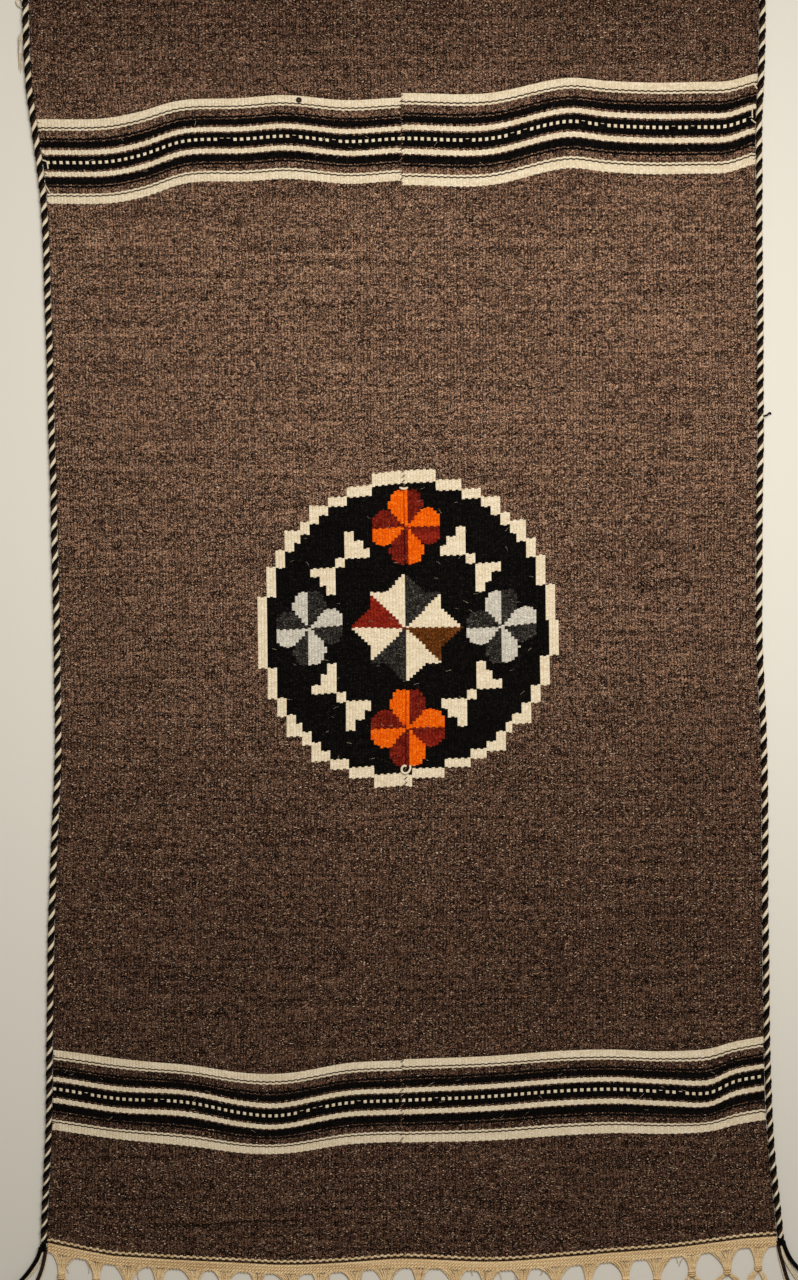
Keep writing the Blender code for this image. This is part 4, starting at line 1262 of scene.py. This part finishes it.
picker = random.Random(11)
for side, name in ((-1, "loose_hairs_left"), (1, "loose_hairs_right")):
    hairs = Skein()
    for _ in range(HAIRS_A_WIDTH):
        share = picker.uniform(*HAIR_SHARES)
        along = picker.uniform(BOTTOM_END + HAIR_MARGIN, TOP_END - HAIR_MARGIN)
        x, y, z = cloth_point(side, share, along)
        turn = picker.uniform(-HAIR_TURN, HAIR_TURN)
        turn = turn + (math.pi if picker.random() < 0.5 else 0.0)
        length = picker.uniform(*HAIR_LENGTHS)
        bend = picker.uniform(-HAIR_BEND, HAIR_BEND)
        step = np.linspace(0, 1, 5)
        heading = turn + bend * step
        path = np.stack([x + length * step * np.cos(heading), y + length * step * np.sin(heading),
                         z + HAIR_RISE * np.sin(math.pi * step) - HAIR_SINK], -1)
        hairs.add(path, HAIR_RADIUS * (1 - 0.5 * step), sides=3)
    hairs.finish(name, [cream_yarn], "tapestry_wool")


# Floor, light and camera
# A smooth pale floor under one wide soft light from above the upper half, so that the lower
# end lies in quieter light, and a camera that looks straight down at the medallion.

FLOOR_DROP = 0.0004
FLOOR_REACH = 25.0
ROOM_LIGHT = 0.215
floor_mesh = bpy.data.meshes.new("floor")
floor_mesh.from_pydata([(x * FLOOR_REACH, y * FLOOR_REACH, -FLOOR_DROP)
                        for x, y in ((-1, -1), (1, -1), (1, 1), (-1, 1))], [], [(0, 1, 2, 3)])
floor = bpy.data.objects.new("floor", floor_mesh)
paint = bpy.data.materials.new("matt_white_paint")
paint.use_nodes = True
painted = paint.node_tree.nodes["Principled BSDF"]
for finish, value in (("Base Color", linear("#E6E2D8")), ("Roughness", 0.85),
                      ("Specular IOR Level", 0.2)):
    painted.inputs[finish].default_value = value
floor_mesh.materials.append(paint)
bpy.context.scene.collection.objects.link(floor)


def add_light(name, place, aim, width, height, watts, colour):
    """A soft rectangular light that points at a place on the floor."""
    lamp = bpy.data.lights.new(name, "AREA")
    lamp.shape = "RECTANGLE"
    lamp.size = width
    lamp.size_y = height
    lamp.energy = watts
    lamp.color = linear(colour)[:3]
    light = bpy.data.objects.new(name, lamp)
    light.location = place
    light.rotation_euler = (Vector(aim) - Vector(place)).to_track_quat("-Z", "Y").to_euler()
    bpy.context.scene.collection.objects.link(light)


add_light("softbox", place=(0.38, 0.51, 1.83), aim=(-0.27, -0.13, 0.0), width=1.2,
          height=1.0, watts=37.0, colour="#FFFBF4")
world = bpy.data.worlds.new("room")
world.use_nodes = True
background = world.node_tree.nodes["Background"]
background.inputs["Color"].default_value = linear("#FFFAF2")
background.inputs["Strength"].default_value = ROOM_LIGHT
bpy.context.scene.world = world
bpy.context.scene.view_settings.view_transform = "Standard"

PHOTO_HEIGHT = 1280
METRES_A_PIXEL = 0.00154
LENS_MM = 50.0
SENSOR_MM = 36.0
aim = Vector((-0.0078, -0.0387, 0.0))
camera_data = bpy.data.cameras.new("camera")
camera_data.lens = LENS_MM
camera_data.sensor_fit = "VERTICAL"
camera_data.sensor_height = SENSOR_MM
camera = bpy.data.objects.new("camera", camera_data)
camera.location = aim + Vector((0, 0, PHOTO_HEIGHT * METRES_A_PIXEL * LENS_MM / SENSOR_MM))
camera.rotation_euler = (0.0, 0.0, 0.0)
bpy.context.scene.collection.objects.link(camera)
bpy.context.scene.camera = camera
